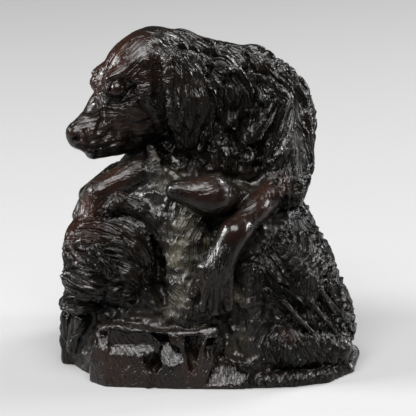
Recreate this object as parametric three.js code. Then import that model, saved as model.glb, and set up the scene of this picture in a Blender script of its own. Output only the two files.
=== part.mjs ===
// Carved wooden dog: a spaniel lying over a rocky mound, head turned to the left,
// with a rounded head of game, a shaggy net bag and a fringed roll at the foot.
// One block of wood, standing on its flat underside. Front is -Y, up is +Z.
import * as THREE from 'three';

// Driving dimensions, in millimetres
const FIGURE_HEIGHT = 216;      // from the underside to the crown of the head
const LOCK_WIDTH = 16.4;        // across one lock of hair
const LOCK_LENGTH = 46;         // along one lock of hair
const LOCK_RELIEF = 5.4;        // from the groove beside a lock to its crest, on the shoulder
const TRESS_WIDTH = 10.4;       // across one of the thin tresses that a lock is made of
const TRESS_RELIEF = 1.5;       // from groove to crest on a tress
const GOUGE_WIDTH = 13;         // across one gouge mark on the rock
const GOUGE_RELIEF = 5.2;       // how deep a gouge mark goes
const SAMPLE_STEP = 2.6;        // how closely the surface is sampled
const TRIANGLES = 9400;         // how many facets the finished surface keeps

// Proportions are counted in parts of the figure's height
const PARTS_HIGH = 100;
const PART = FIGURE_HEIGHT / PARTS_HIGH;

// Points are placed as a viewer in front sees them, looking 16 degrees down:
// across to the right, up the picture, and depth away from the viewer along Y
const VIEW_TILT = THREE.MathUtils.degToRad(16);
const SIN_TILT = Math.sin(VIEW_TILT);
const COS_TILT = Math.cos(VIEW_TILT);

function seen(across, up, depth) {
  return [across, depth, (up - SIN_TILT * depth) / COS_TILT];
}

// Small vector sums
const plus = (a, b) => [a[0] + b[0], a[1] + b[1], a[2] + b[2]];
const minus = (a, b) => [a[0] - b[0], a[1] - b[1], a[2] - b[2]];
const times = (a, s) => [a[0] * s, a[1] * s, a[2] * s];
const dot = (a, b) => a[0] * b[0] + a[1] * b[1] + a[2] * b[2];
const cross = (a, b) => [
  a[1] * b[2] - a[2] * b[1],
  a[2] * b[0] - a[0] * b[2],
  a[0] * b[1] - a[1] * b[0],
];
const unit = (a) => times(a, 1 / (Math.hypot(a[0], a[1], a[2]) || 1));

// Three axes: the first along a direction, the third as near upright as it can be
function axesAlong(along) {
  const first = unit(along);
  const second = unit(cross([0, 0, 1], first));
  return [first, second, cross(first, second)];
}

// Shapes. Each is a function of a point that gives how far outside it the point lies
function ball(centre, radius) {
  return (x, y, z) => Math.hypot(x - centre[0], y - centre[1], z - centre[2]) - radius;
}

function blob(centre, radii, axes = [[1, 0, 0], [0, 1, 0], [0, 0, 1]]) {
  const [a, b, c] = axes;
  const [ra, rb, rc] = radii;
  return (x, y, z) => {
    const p = x - centre[0];
    const q = y - centre[1];
    const r = z - centre[2];
    const u = (p * a[0] + q * a[1] + r * a[2]) / ra;
    const v = (p * b[0] + q * b[1] + r * b[2]) / rb;
    const w = (p * c[0] + q * c[1] + r * c[2]) / rc;
    const near = Math.hypot(u, v, w);
    const slope = Math.hypot(u / ra, v / rb, w / rc);
    return near * (near - 1) / Math.max(slope, 1e-6);
  };
}

function limb(from, to, startRadius, endRadius) {
  const run = minus(to, from);
  const length2 = dot(run, run);
  return (x, y, z) => {
    const p = x - from[0];
    const q = y - from[1];
    const r = z - from[2];
    const along = Math.min(1, Math.max(0, (p * run[0] + q * run[1] + r * run[2]) / length2));
    const gap = Math.hypot(p - along * run[0], q - along * run[1], r - along * run[2]);
    return gap - (startRadius + (endRadius - startRadius) * along);
  };
}

// A limb pressed thinner along one direction
function flatLimb(from, to, startRadius, endRadius, normal, squash) {
  const n = unit(normal);
  const stretch = 1 / squash - 1;
  const end = plus(to, times(n, dot(minus(to, from), n) * stretch));
  const round = limb(from, end, startRadius, endRadius);
  return (x, y, z) => {
    const off = ((x - from[0]) * n[0] + (y - from[1]) * n[1] + (z - from[2]) * n[2]) * stretch;
    return round(x + off * n[0], y + off * n[1], z + off * n[2]) * (0.5 + 0.5 * squash);
  };
}

// A string of limbs of one thickness through a row of points
function rope(points, radius, blend = 1) {
  const lengths = points.slice(1).map((point, i) => limb(points[i], point, radius, radius));
  return join(blend, ...lengths);
}

// The space behind a flat face
function behind(point, normal) {
  const n = unit(normal);
  const level = dot(point, n);
  return (x, y, z) => x * n[0] + y * n[1] + z * n[2] - level;
}

function smoothLower(a, b, blend) {
  const h = Math.max(blend - Math.abs(a - b), 0) / blend;
  return Math.min(a, b) - h * h * blend * 0.25;
}

function join(blend, ...shapes) {
  return (x, y, z) => {
    let d = shapes[0](x, y, z);
    for (let i = 1; i < shapes.length; i += 1) {
      d = smoothLower(d, shapes[i](x, y, z), blend);
    }
    return d;
  };
}

function carve(blend, shape, tool) {
  return (x, y, z) => -smoothLower(-shape(x, y, z), tool(x, y, z), blend);
}

function allOf(...shapes) {
  return (x, y, z) => Math.max(...shapes.map((shape) => shape(x, y, z)));
}

// Everything within an outline as it is seen, through the whole depth
function outline(corners) {
  return (x, y, z) => {
    const up = z * COS_TILT + y * SIN_TILT;
    let nearest = Infinity;
    let inside = false;
    corners.forEach(([ax, au], i) => {
      const [bx, bu] = corners[(i + 1) % corners.length];
      const ex = bx - ax;
      const eu = bu - au;
      const along = Math.min(1, Math.max(0, ((x - ax) * ex + (up - au) * eu) / (ex * ex + eu * eu)));
      nearest = Math.min(nearest, Math.hypot(x - ax - along * ex, up - au - along * eu));
      if ((au > up) !== (bu > up) && x < ex * (up - au) / eu + ax) inside = !inside;
    });
    return inside ? -nearest : nearest;
  };
}

const bothSides = (shape) => (x, y, z) => shape(x, Math.abs(y), z);

// The head's own frame: forward along the nose, out to the near side, and up
const HEAD_YAW = THREE.MathUtils.degToRad(28);
const HEAD_DROOP = THREE.MathUtils.degToRad(25);
const HEAD_CENTRE = seen(-18.5, 83.5, -6);
const FORWARD = [
  -Math.cos(HEAD_YAW) * Math.cos(HEAD_DROOP),
  -Math.sin(HEAD_YAW) * Math.cos(HEAD_DROOP),
  -Math.sin(HEAD_DROOP),
];
const NEAR_SIDE = [Math.sin(HEAD_YAW), -Math.cos(HEAD_YAW), 0];
const HEAD_UP = cross(FORWARD, NEAR_SIDE);

function onHead(shape) {
  return (x, y, z) => {
    const offset = minus([x, y, z], HEAD_CENTRE);
    return shape(dot(offset, FORWARD), dot(offset, NEAR_SIDE), dot(offset, HEAD_UP));
  };
}

// Head: skull, cheeks, stop, muzzle, hanging lips and lower jaw
function skullAndMuzzle() {
  const skull = blob([-2.2, 0, -0.5], [12.0, 9.8, 10.9]);
  const cheeks = bothSides(blob([4.5, 4.5, -10], [10.5, 5.6, 9.5]));
  const forehead = blob([5.0, 0, 0.4], [7.2, 6.6, 7.5]);
  const stop = limb([5, 0, 0.5], [15.5, 0, -3.8], 6.4, 4.1);
  const muzzle = flatLimb([13, 0, -7.7], [26.6, 0, -7.8], 7.6, 4.4, [0, 1, 0], 0.78);
  const jaw = flatLimb([8, 0, -17.8], [25.0, 0, -14.2], 6.4, 2.9, [0, 1, 0], 0.85);
  const lips = bothSides(blob([21.5, 2.6, -11.2], [8.4, 3.2, 4.7], axesAlong([1, 0, 0.34])));
  const lipFolds = [
    blob([25.0, 3.3, -9.8], [2.6, 1.7, 2.0]),
    blob([18.5, 4.6, -13.8], [3.2, 1.7, 2.2]),
    blob([11.0, 5.6, -14.8], [3.6, 1.8, 2.0]),
  ];
  const nose = blob([28.2, 0, -6.0], [2.2, 2.9, 2.2]);
  const orbits = bothSides(blob([9.3, 3.6, 0.8], [6.0, 3.5, 4.6], axesAlong([1, 0, 0.2])));
  const brows = bothSides(blob([10.2, 4.7, 4.4], [4.4, 2.0, 1.6], axesAlong([1, 0, 0.15])));
  const cheekbones = bothSides(limb([12, 6.4, -3.6], [1, 9.2, -2.6], 1.8, 2.6));
  let form = join(5, join(5, skull, cheeks), join(4, forehead, stop));
  form = join(2.2, join(5, form, muzzle), jaw);
  form = join(1.6, form, lips);
  form = join(1.2, form, nose, ...lipFolds.map(bothSides));
  form = join(2.2, form, orbits, cheekbones);
  return join(1.2, form, brows);
}

// Eyes in their sockets, nostrils and the line of the mouth
function head() {
  const eyeAt = [12.6, 4.9, 2.0];
  const lidAxes = axesAlong([1, 0, 0.6]);
  const sockets = bothSides(blob(plus(eyeAt, [0.2, 2.8, -0.2]), [4.6, 2.4, 3.9], lidAxes));
  const lids = bothSides(blob(eyeAt, [4.3, 2.9, 3.4], lidAxes));
  const lidRims = bothSides(blob(plus(eyeAt, [0, 2.0, 0]), [2.95, 2.6, 2.65], lidAxes));
  const eyeballs = bothSides(ball(plus(eyeAt, [0, 1.0, 0]), 2.3));
  const nostrils = bothSides(blob([29.2, 2.5, -7.0], [1.3, 0.9, 0.9]));
  const lipCorner = [23.5, 4.9, -14.8];
  const mouth = bothSides(join(
    0.3,
    limb([28.2, 2.6, -10.6], lipCorner, 0.5, 0.6),
    limb(lipCorner, [13, 6.2, -17], 0.6, 0.5),
  ));
  let form = carve(1.6, skullAndMuzzle(), sockets);
  form = join(0.7, form, lids);
  form = join(0.1, carve(0.2, form, lidRims), eyeballs);
  form = carve(0.5, form, nostrils);
  return onHead(carve(0.8, form, mouth));
}

// Long hanging ear; side is 1 on the near side of the head and -1 on the far side
function ear(side) {
  const outward = times(NEAR_SIDE, side);
  const rootOffset = plus(plus(times(FORWARD, -5), times(NEAR_SIDE, 8.6 * side)), times(HEAD_UP, 2));
  const root = plus(HEAD_CENTRE, rootOffset);
  const hang = (across, down, out) => plus(plus(root, [across, 0, -down]), times(outward, out));
  const fold = flatLimb(root, hang(3.0, 4, 2.0), 3.2, 6.2, outward, 0.42);
  const flap = flatLimb(hang(3.6, 4, 2.0), hang(5.2, 15, 3.2), 6.4, 7.8, outward, 0.34);
  const tip = flatLimb(hang(5.2, 15, 3.2), hang(4.6, 22.5, 3.0), 7.8, 4.6, outward, 0.34);
  return join(1.5, fold, flap, tip);
}

// Neck, throat, and the mane that hangs over the folded paw
function neck() {
  const nape = limb(seen(-8, 81.9, -2), seen(8, 75.8, 0), 11.8, 13.2);
  const throat = limb(seen(-8, 66, -4), seen(5, 63, -4), 8, 8.5);
  const mane = join(
    3,
    limb(seen(0, 62, -10), seen(6, 57, -13), 6.5, 5.5),
    limb(seen(6, 57, -13), seen(12, 54, -14), 5.5, 5.0),
  );
  const breast = blob(seen(-6, 53, -4), [10, 12, 9]);
  return join(3, join(4, join(6, nape, throat), mane), breast);
}

function shoulder() {
  const blade = blob(seen(17.4, 67.4, 0), [11.3, 15, 18.2]);
  const upperArm = join(
    3,
    blob(seen(24, 57, -6), [6.6, 12, 13]),
    limb(seen(23.5, 57, -13), seen(25, 47.5, -17.5), 6.5, 4.6),
  );
  const withers = ball(seen(14, 84.0, 0), 5);
  return join(4, blade, upperArm, withers);
}

// The back, lying across the far side of the mound
function trunk() {
  const ribs = limb(seen(16, 69, 5), seen(-8, 54, 15), 15.5, 14);
  const flank = blob(seen(-17, 46, 12), [12, 11, 13]);
  return join(5, ribs, flank);
}

// Haunch, folded hind leg and the tail, on the far side
function hindquarters() {
  const haunch = blob([-20, 19, 37], [13, 10, 14]);
  const thigh = limb([-27, 24, 33], [-12, 28, 21], 7.0, 5.0);
  const hock = limb([-12, 25.5, 21], [-20, 25.5, 10], 5.0, 4.6);
  const foot = flatLimb([-20, 26.5, 7], [-7, 28.5, 4], 4.8, 4.2, [0, 0, 1], 0.8);
  return join(2, join(4, haunch, thigh), hock, foot);
}

function tail() {
  return join(
    2,
    limb([-33, 15, 34], [-37, 15, 22], 4.4, 4.6),
    limb([-37, 15, 22], [-31, 21, 11], 4.6, 3.8),
    limb([-31, 21, 11], [-26, 24, 4], 3.8, 3.0),
  );
}

// Toes fan out from the knuckles, each from its own root to its own tip
function toes(roots, tips, rootRadius, tipRadius) {
  return join(0.5, ...roots.map((root, i) => limb(root, tips[i], rootRadius, tipRadius)));
}

// Near foreleg: from under the mane down to the toes on the centre rock
function nearForeleg() {
  const elbow = seen(20.5, 47.5, -17);
  const forearm = seen(14, 41, -25.5);
  const wrist = seen(8, 34, -32.5);
  const knuckles = seen(2.2, 23.5, -36);
  const tips = [[-3.8, 16.8, -36.6], [-1.0, 12.8, -38.4], [2.4, 11.8, -38.8], [6.2, 13.0, -37.4]];
  const roots = [[-1.2, 24.5, -36.2], [1.0, 24, -38.2], [3.6, 23.8, -38.2], [5.8, 24.5, -36.2]];
  const leg = join(
    2,
    limb(elbow, forearm, 4.8, 3.8),
    limb(forearm, wrist, 3.8, 4.3),
    limb(wrist, knuckles, 4.4, 4.5),
  );
  return join(0.6, leg, toes(roots.map((at) => seen(...at)), tips.map((at) => seen(...at)), 1.9, 1.7));
}

// The other paw, folded under the breast and pointing left
function foldedPaw() {
  const knuckles = seen(-8.8, 46.6, -30);
  const wrist = seen(1.2, 45.2, -27);
  return join(3, limb(knuckles, wrist, 3.3, 5.8), limb(wrist, seen(8, 44, -19), 5.8, 4.6));
}

// Forearm that reaches out under the jaw, its toes over the left edge
function farForeleg() {
  const forearm = limb(seen(-20, 52, -15), seen(-32, 46.3, -18), 5.0, 4.0);
  const tips = [seen(-37.6, 39.5, -16), seen(-36.2, 38.8, -19.5), seen(-34, 39.5, -21.5)];
  const roots = [seen(-34.4, 45.2, -14.5), seen(-34, 45, -17.5), seen(-32.4, 44.4, -19.5)];
  const ledge = limb(seen(-27, 52, -8), seen(-35, 45.5, -10), 3.2, 3.2);
  return join(1, join(1.4, forearm, toes(roots, tips, 2.9, 2.3)), ledge);
}

// Mound: how far it reaches to left, right, front and back at rising heights
const MOUND_MIDDLE = -6;
const MOUND_TOP = 60;
const MOUND_SQUARENESS = 2.5;
const MOUND_REACH = [
  { z: 0, left: 41, right: 42.5, front: 32.5, back: 30 },
  { z: 6, left: 42.5, right: 43, front: 31, back: 31 },
  { z: 14, left: 42.5, right: 41.5, front: 29, back: 31 },
  { z: 24, left: 42.5, right: 38, front: 26, back: 30 },
  { z: 34, left: 42, right: 34, front: 23, back: 28 },
  { z: 41, left: 39, right: 30.5, front: 21, back: 26 },
  { z: 48, left: 35.5, right: 28, front: 19, back: 23 },
  { z: 55, left: 30, right: 25, front: 17.5, back: 20 },
  { z: 62, left: 18, right: 18, front: 9, back: 12 },
];

function moundReach(z) {
  const last = MOUND_REACH.length - 1;
  if (z <= MOUND_REACH[0].z) return MOUND_REACH[0];
  if (z >= MOUND_REACH[last].z) return MOUND_REACH[last];
  const i = MOUND_REACH.findIndex((row) => row.z > z);
  const low = MOUND_REACH[i - 1];
  const high = MOUND_REACH[i];
  const t = (z - low.z) / (high.z - low.z);
  const mix = (side) => low[side] + (high[side] - low[side]) * t;
  return { left: mix('left'), right: mix('right'), front: mix('front'), back: mix('back') };
}

function mound() {
  return (x, y, z) => {
    const reach = moundReach(z);
    const across = x < 0 ? reach.left : reach.right;
    const deep = y < MOUND_MIDDLE ? reach.front : reach.back;
    const u = Math.abs(x / across) ** MOUND_SQUARENESS;
    const v = Math.abs((y - MOUND_MIDDLE) / deep) ** MOUND_SQUARENESS;
    const ring = (u + v) ** (1 / MOUND_SQUARENESS) - 1;
    return Math.max(ring * Math.min(across, deep) * 0.9, z - MOUND_TOP);
  };
}

// Foot of the rock: a chiselled block, buried at the back. Outlines are across and up as seen
const BURIED = behind(seen(0, 0, -24), [0, 1, 0]);
const FOOT_FRONT = behind([0, -40.8, 0], [0, -1, 0]);
const FOOT_TOP = 20;
const TOWARD_LIGHT = [-0.28, -0.76, 0.58];

const BLOCK_OUTLINE = [
  [-33.4, -14], [-34.4, -7], [-34.6, -1], [-33, 4], [-31, 8.4], [-25, 8.0], [-18.6, 7.2], [-14.7, 6.1],
  [-7, 6.9], [1.4, 7.4], [3.4, 5], [5, -2], [9, -4], [16, -4], [16, -14],
];
const PANEL_OUTLINE = [[-27.8, 6.2], [-21, 5.6], [-15.6, 5.8], [-15.0, 1.8], [-21, 1.0], [-28.4, 1.9]];

// Facets cut or raised on the block: outline, a point on the face, and the way it faces
const FACETS = [
  // left corner
  {
    corners: [[-33.2, 5.8], [-28.8, 6.0], [-28.6, 1.0], [-29.8, -0.6], [-31.4, -0.2], [-32.6, 2.4]],
    at: [-30.5, 0, -38.2],
    facing: TOWARD_LIGHT,
  },
  // scalloped edge under the sunk panel
  {
    corners: [
      [-28.6, 2.2], [-28.8, -0.6], [-27.4, -2.0], [-26.2, -0.3], [-24.9, -2.4], [-23.6, -0.5], [-22.3, -2.8],
      [-21.0, -0.4], [-19.6, -2.2], [-18.4, -0.2], [-17.2, -1.8], [-15.6, 0.2], [-15.2, 1.8],
    ],
    at: [-22, -2.4, -39.4],
    facing: TOWARD_LIGHT,
  },
  // broad facet right of the panel
  {
    corners: [
      [-16.2, 5.6], [-10.9, 5.3], [-10.2, 2.1], [-7.0, 0.6], [-7.1, -3.3], [-10.2, -5.8], [-13.2, -3.3],
      [-14, 0], [-13, 2.4],
    ],
    at: [-10, -5.0, -41.0],
    facing: TOWARD_LIGHT,
  },
  // ledge at the top right
  {
    corners: [[-6.4, 6.6], [-1, 6.4], [2.6, 7.0], [3.2, 5.2], [0.6, 4.4], [-5.8, 4.6]],
    at: [-1, 4.4, -40.4],
    facing: TOWARD_LIGHT,
  },
  // long slanting facet at the foot
  {
    corners: [
      [-2, -14], [-1.7, -11], [4.4, 0.2], [5.4, -3.6], [6.7, -2.6], [7.4, -4.6], [8.8, -3.8], [9.7, -5.6],
      [12.4, -6.6], [11, -9], [12, -14],
    ],
    at: [4, -10.6, -41.0],
    facing: TOWARD_LIGHT,
  },
  // hollows between the facets, and the planes of the lower face
  {
    corners: [[-14.2, -0.6], [-19.0, 1.0], [-18.2, -3.4], [-14.8, -6.4], [-12.6, -3.6]],
    at: [-16, -1, -38.0],
    facing: [0.3, -1.0, -0.4],
  },
  {
    corners: [[-6.4, 4.4], [-0.4, 4.2], [-2.6, -1.6], [-4.8, -6.6], [-5.8, -2]],
    at: [-3, 0, -37.6],
    facing: [-0.5, -1.0, -0.3],
  },
  {
    corners: [[2.4, 4.2], [4.4, 3.6], [5.4, -2.2], [3.2, -1.0], [1.8, -5.0]],
    at: [3.4, 0, -37.4],
    facing: [0.5, -1.0, -0.3],
  },
  {
    corners: [[-34.6, -4], [-31.2, -3.4], [-30.4, -9], [-31.6, -14], [-34.6, -14]],
    at: [-32, -7, -36.0],
    facing: [-1.0, -1.0, 0.1],
  },
  {
    corners: [[-18.2, -5.6], [-15.4, -6.2], [-14.2, -14], [-17.6, -14]],
    at: [-16.5, -8, -40.0],
    facing: [0.5, -1.0, 0.0],
  },
];

function plainBlock() {
  return allOf(
    outline(BLOCK_OUTLINE),
    behind(seen(-20, 8, -37), [0.05, -0.35, 1.0]),
    behind(seen(-22, 4.5, -38.5), [-0.1, -1.0, 0.05]),
    behind(seen(-30, -5, -38.3), [-0.5, -1.0, -0.02]),
    behind(seen(-8, -7, -41), [0.02, -1.0, -0.08]),
    behind(seen(3, 5, -39.5), [0.5, -1.0, 0.35]),
    BURIED,
    FOOT_FRONT,
  );
}

// Within its outline a facet is the surface: cut where the block stands proud, filled where it falls short
function withFacet(block, { corners, at, facing }) {
  const within = outline(corners);
  const face = behind(seen(...at), facing);
  return (x, y, z) => {
    const inOutline = within(x, y, z);
    const overFace = face(x, y, z);
    const filled = Math.max(inOutline, overFace, BURIED(x, y, z), FOOT_FRONT(x, y, z));
    const cut = -smoothLower(-block(x, y, z), Math.max(inOutline, -overFace), 0.15);
    return Math.min(cut, filled);
  };
}

function chiselledBlock() {
  const panel = allOf(outline(PANEL_OUTLINE), behind(seen(-21, 4, -36.4), [0.05, 1, 0.1]));
  const block = FACETS.reduce(withFacet, carve(0.15, plainBlock(), panel));
  return (x, y, z) => (z > FOOT_TOP + 5 ? z - FOOT_TOP : block(x, y, z));
}

function centreRock() {
  const face = limb(seen(-6, 40, -21), seen(-5, 12, -29), 8.0, 8.5);
  const column = limb(seen(12, 22, -30), seen(14, -6, -34), 4.2, 4.0);
  return join(2, face, column);
}

// Rock under the chin, and the flat strap that drops from the jaw
function chinRock() {
  return limb(seen(-25.5, 51, -7), seen(-20, 55.5, -7), 4.2, 4.8);
}

function strap() {
  const places = [seen(-16.2, 58.6, -15), seen(-14.6, 51.5, -20), seen(-13.4, 45, -22), seen(-13, 39, -24)];
  const halfWidths = [1.9, 2.5, 3.2, 3.8];
  const lengths = places.slice(1).map((place, i) => (
    flatLimb(places[i], place, halfWidths[i], halfWidths[i + 1], [-0.2, -1, 0.3], 0.5)
  ));
  return join(1, ...lengths);
}

// Rounded head of game at the left, with a band over it and a raised lock
function gameHead() {
  const ballOfHead = join(
    2.5,
    blob(seen(-25.2, 28, -20), [11.2, 14.5, 12.2]),
    blob(seen(-23.5, 23, -24), [8.5, 10.5, 7.5]),
    blob(seen(-33.0, 29.5, -22), [9.2, 12.5, 10.5]),
    blob(seen(-32.5, 22, -24), [10.2, 11.5, 6.5]),
  );
  const lock = limb(seen(-33, 28.8, -34.6), seen(-28, 23.4, -35.4), 1.9, 1.5);
  const band = rope(
    [
      seen(-33, 40.2, -19), seen(-26, 43.0, -20), seen(-19, 41.6, -21), seen(-14.4, 37.5, -22.5),
      seen(-13, 31, -24),
    ],
    2.5,
  );
  return join(0.8, ballOfHead, lock, band);
}

// Dark cleft between the head of game and the centre rock
function cleft() {
  return blob(seen(-14.2, 22.5, -27.5), [1.7, 7.5, 9.0]);
}

// Oval leaf on the left and the hanging leaves under it
function leftLeaves() {
  const oval = blob(seen(-37, 13.8, -22), [7, 9, 2.3], axesAlong([1, 0.1, 0.06]));
  const hanging = join(
    1,
    limb(seen(-40, 9, -18), seen(-41.5, 2, -16), 3.6, 2.6),
    limb(seen(-37, 9, -24), seen(-40, 0, -22), 3.2, 1.8),
    limb(seen(-41, 0, -16), seen(-41, -4, -16), 2.4, 2.6),
  );
  const fold = limb(seen(-37.6, 6, -30), seen(-37.2, -7, -31), 1.0, 1.6);
  return join(0.7, oval, carve(0.8, hanging, fold));
}

// Shaggy net bag: the round hole near its right edge, the slit beside it, and the sunk panels
function bag() {
  const body = blob(seen(23.5, 24, -18), [13.0, 15.5, 13.0]);
  const side = limb(seen(25, 38, -12), seen(36, 12, -16), 6, 7);
  const base = limb(seen(27, 10, -27), seen(38, 6, -17), 6, 6);
  const slanting = axesAlong([0.6, 0, -0.8]);
  const hollows = join(
    0.2,
    ball(seen(33.8, 21.7, -23), 2.9),
    limb(seen(37.6, 22, -21.5), seen(42.2, 14, -20), 0.8, 1.6),
    blob(seen(28.6, 10.5, -33.5), [2.4, 3.4, 4.4], slanting),
    blob(seen(35.0, 12.5, -29.5), [2.2, 3.4, 4.0], slanting),
    blob(seen(19.0, 12.0, -35.0), [1.6, 3.0, 3.4]),
  );
  return carve(0.8, join(3, join(5, body, side), base), hollows);
}

// Net cords that fan out from their knots over the lower bag
function netCords() {
  const fans = [
    { knot: seen(22.5, 14.4, -33.0), ends: [seen(28.5, 7.5, -34.0), seen(31, 5.2, -32.5)] },
    { knot: seen(30.3, 14.5, -29.5), ends: [seen(35, 8.5, -29.5), seen(38.5, 4.5, -26.5)] },
    { knot: seen(33.4, 17.5, -26.5), ends: [seen(37.5, 11, -25.5), seen(41.2, 8.5, -21.5)] },
  ];
  const cords = fans.flatMap(({ knot, ends }) => [
    ball(knot, 1.3),
    ...ends.map((end) => limb(knot, end, 1.2, 1.0)),
  ]);
  return join(0.8, ...cords);
}

// Tufted roll and the fringed hem under it
function rollAndHem() {
  const roll = limb(seen(23, 1, -32), seen(37, 0, -24), 6.6, 6.2);
  const hem = rope(
    [seen(16, -9.3, -37.5), seen(25, -8.4, -36.5), seen(34, -8, -33), seen(41, -6, -24), seen(43, -2, -12)],
    2.6,
  );
  return join(0.8, roll, hem);
}

// Crease between neck and shoulder
function shoulderCrease() {
  return rope([seen(11, 85, -11), seen(14.5, 76, -13), seen(12.5, 68, -13), seen(8, 60, -14)], 2.0);
}

// Groove around the near ear, so that the ear stands clear of the cheek
function earGroove() {
  return rope(
    [
      seen(-14, 82, -15.5), seen(-13.6, 74, -17), seen(-12.8, 66, -17.5), seen(-8.5, 60, -17),
      seen(-1, 60, -16), seen(4.2, 66, -15), seen(5.2, 76, -14),
    ],
    1.7,
  );
}

// The whole block, dog and ground in one, cut flat underneath at z = 0
function dog() {
  const plain = join(2.5, join(3, head(), neck()), join(5, shoulder(), trunk()));
  const body = carve(1.6, carve(2.5, plain, shoulderCrease()), earGroove());
  const ears = join(0.5, ear(1), ear(-1));
  const limbs = [nearForeleg(), foldedPaw(), farForeleg(), hindquarters(), tail()];
  return join(1.5, join(0.3, body, ears), ...limbs);
}

function ground() {
  const rock = join(0.5, join(3, mound(), centreRock()), chiselledBlock());
  const left = carve(0.6, join(0.8, rock, gameHead(), leftLeaves()), cleft());
  const right = join(0.8, join(2, left, bag()), rollAndHem(), netCords());
  return join(1.2, right, strap(), chinRock());
}

// Noise: even values from 0 to 1 for whole-number places, and smooth values between them
function scatter(i, j, k, seed) {
  let h = Math.imul(i, 0x8DA6B343) ^ Math.imul(j, 0xD8163841);
  h ^= Math.imul(k, 0xCB1AB31F) ^ Math.imul(seed, 0x9E3779B1);
  h ^= h >>> 15;
  h = Math.imul(h, 0x2C1B3C6D);
  h ^= h >>> 12;
  h = Math.imul(h, 0x297A2D39);
  h ^= h >>> 15;
  return (h >>> 0) / 4294967296;
}

function noise(p, cell, seed) {
  const place = p.map((value) => Math.floor(value / cell));
  const part = p.map((value, i) => value / cell - place[i]);
  const ease = part.map((t) => t * t * (3 - 2 * t));
  let total = 0;
  for (let corner = 0; corner < 8; corner += 1) {
    const step = [corner & 1, (corner >> 1) & 1, corner >> 2];
    const weight = step.reduce((w, s, i) => w * (s ? ease[i] : 1 - ease[i]), 1);
    total += weight * scatter(place[0] + step[0], place[1] + step[1], place[2] + step[2], seed);
  }
  return total * 2 - 1;
}

// Gouge marks: squared distance to the nearest scattered centre
function gouges(p, cell, seed) {
  const place = p.map((value) => Math.floor(value / cell));
  let nearest = 9;
  for (let n = 0; n < 27; n += 1) {
    const i = place[0] + (n % 3) - 1;
    const j = place[1] + (Math.floor(n / 3) % 3) - 1;
    const k = place[2] + Math.floor(n / 9) - 1;
    const dx = i + 0.15 + 0.7 * scatter(i, j, k, seed) - p[0] / cell;
    const dy = j + 0.15 + 0.7 * scatter(i, j, k, seed + 1) - p[1] / cell;
    const dz = k + 0.15 + 0.7 * scatter(i, j, k, seed + 2) - p[2] / cell;
    nearest = Math.min(nearest, dx * dx + dy * dy + dz * dz);
  }
  return nearest;
}

// Which way the hair runs: where on the figure, then the run across and up as seen
const HAIR_RUNS = [
  // forehead, crown and nape
  { at: [-31, 83, -14], run: [0.6, 0.8] },
  { at: [-22, 92, -8], run: [0.9, 0.4] },
  { at: [-13, 95, -4], run: [1, -0.1] },
  { at: [-3, 92, -4], run: [0.9, -0.45] },
  { at: [-14, 89, -16], run: [1, 0] },
  { at: [-6, 89, -16], run: [0.8, -0.5] },
  { at: [5, 87, -8], run: [0.75, -0.65] },
  { at: [10, 82, -12], run: [0.6, -0.8] },
  { at: [2, 80, -14], run: [0.5, -0.85] },
  { at: [8, 73, -14], run: [0.35, -0.95] },
  { at: [3, 66, -14], run: [0.3, -0.95] },
  // ear
  { at: [-9, 83, -18], run: [0.2, -1] },
  { at: [-9, 74, -20], run: [0, -1] },
  { at: [-3, 68, -20], run: [-0.05, -1] },
  { at: [-6, 61, -19], run: [0.1, -1] },
  { at: [0, 63, -19], run: [-0.3, -1] },
  // mane
  { at: [6, 58, -18], run: [0.35, -0.9] },
  { at: [12, 54, -18], run: [0.3, -0.9] },
  { at: [14, 64, -16], run: [-0.3, -0.95] },
  // shoulder and back
  { at: [14, 90, -2], run: [0.7, -0.5] },
  { at: [24, 84, -6], run: [0.6, -0.8] },
  { at: [29, 76, -4], run: [0.35, -0.95] },
  { at: [31.5, 66, -4], run: [0.05, -1] },
  { at: [23, 74, -14], run: [0.1, -1] },
  { at: [19, 68, -16], run: [-0.45, -0.9] },
  { at: [16, 59, -18], run: [-0.55, -0.85] },
  { at: [24, 60, -16], run: [-0.1, -1] },
  { at: [27, 48, -16], run: [0, -1] },
  // game head, its band and the leaves
  { at: [-28, 42, -24], run: [1, 0.15] },
  { at: [-20, 41, -26], run: [0.8, -0.6] },
  { at: [-38, 33, -30], run: [0.5, 0.6] },
  { at: [-32, 37, -30], run: [1, 0.2] },
  { at: [-24, 35, -34], run: [0.9, -0.3] },
  { at: [-24, 27, -36], run: [0.75, -0.65] },
  { at: [-18, 22, -34], run: [0.6, -0.8] },
  { at: [-28, 20, -36], run: [1, -0.1] },
  { at: [-36, 21, -34], run: [0.9, -0.3] },
  { at: [-40, 6, -24], run: [-0.1, -1] },
  // bag, roll and hem
  { at: [20, 32, -32], run: [0.6, -0.8] },
  { at: [28, 34, -28], run: [0.5, -0.85] },
  { at: [16, 26, -34], run: [-0.2, -1] },
  { at: [24, 24, -34], run: [0.3, -0.95] },
  { at: [30, 18, -32], run: [0.5, -0.85] },
  { at: [38, 14, -24], run: [0.6, -0.8] },
  { at: [18, 1, -38], run: [-0.5, -0.9] },
  { at: [24, 2, -39], run: [0, -1] },
  { at: [29, 4, -37], run: [0.8, -0.6] },
  { at: [35, 1, -34], run: [0.5, -0.85] },
  { at: [17, -4, -38], run: [0, -1] },
  { at: [28, -9, -38], run: [0.05, -1] },
  { at: [42, -4, -26], run: [0.5, -0.85] },
];

// On the hidden side the hair simply falls back and down
const BACK_RUNS = [-30, -10, 10, 30].flatMap((x) => [20, 50, 80].map((z) => (
  { at: [x, 20, z], run: unit([0.1 * Math.sign(x), 0.5, -0.8]) }
)));

const STROKES = HAIR_RUNS.map(({ at, run }) => (
  { at: seen(...at), run: unit([run[0], SIN_TILT * run[1], COS_TILT * run[1]]) }
)).concat(BACK_RUNS);

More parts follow.
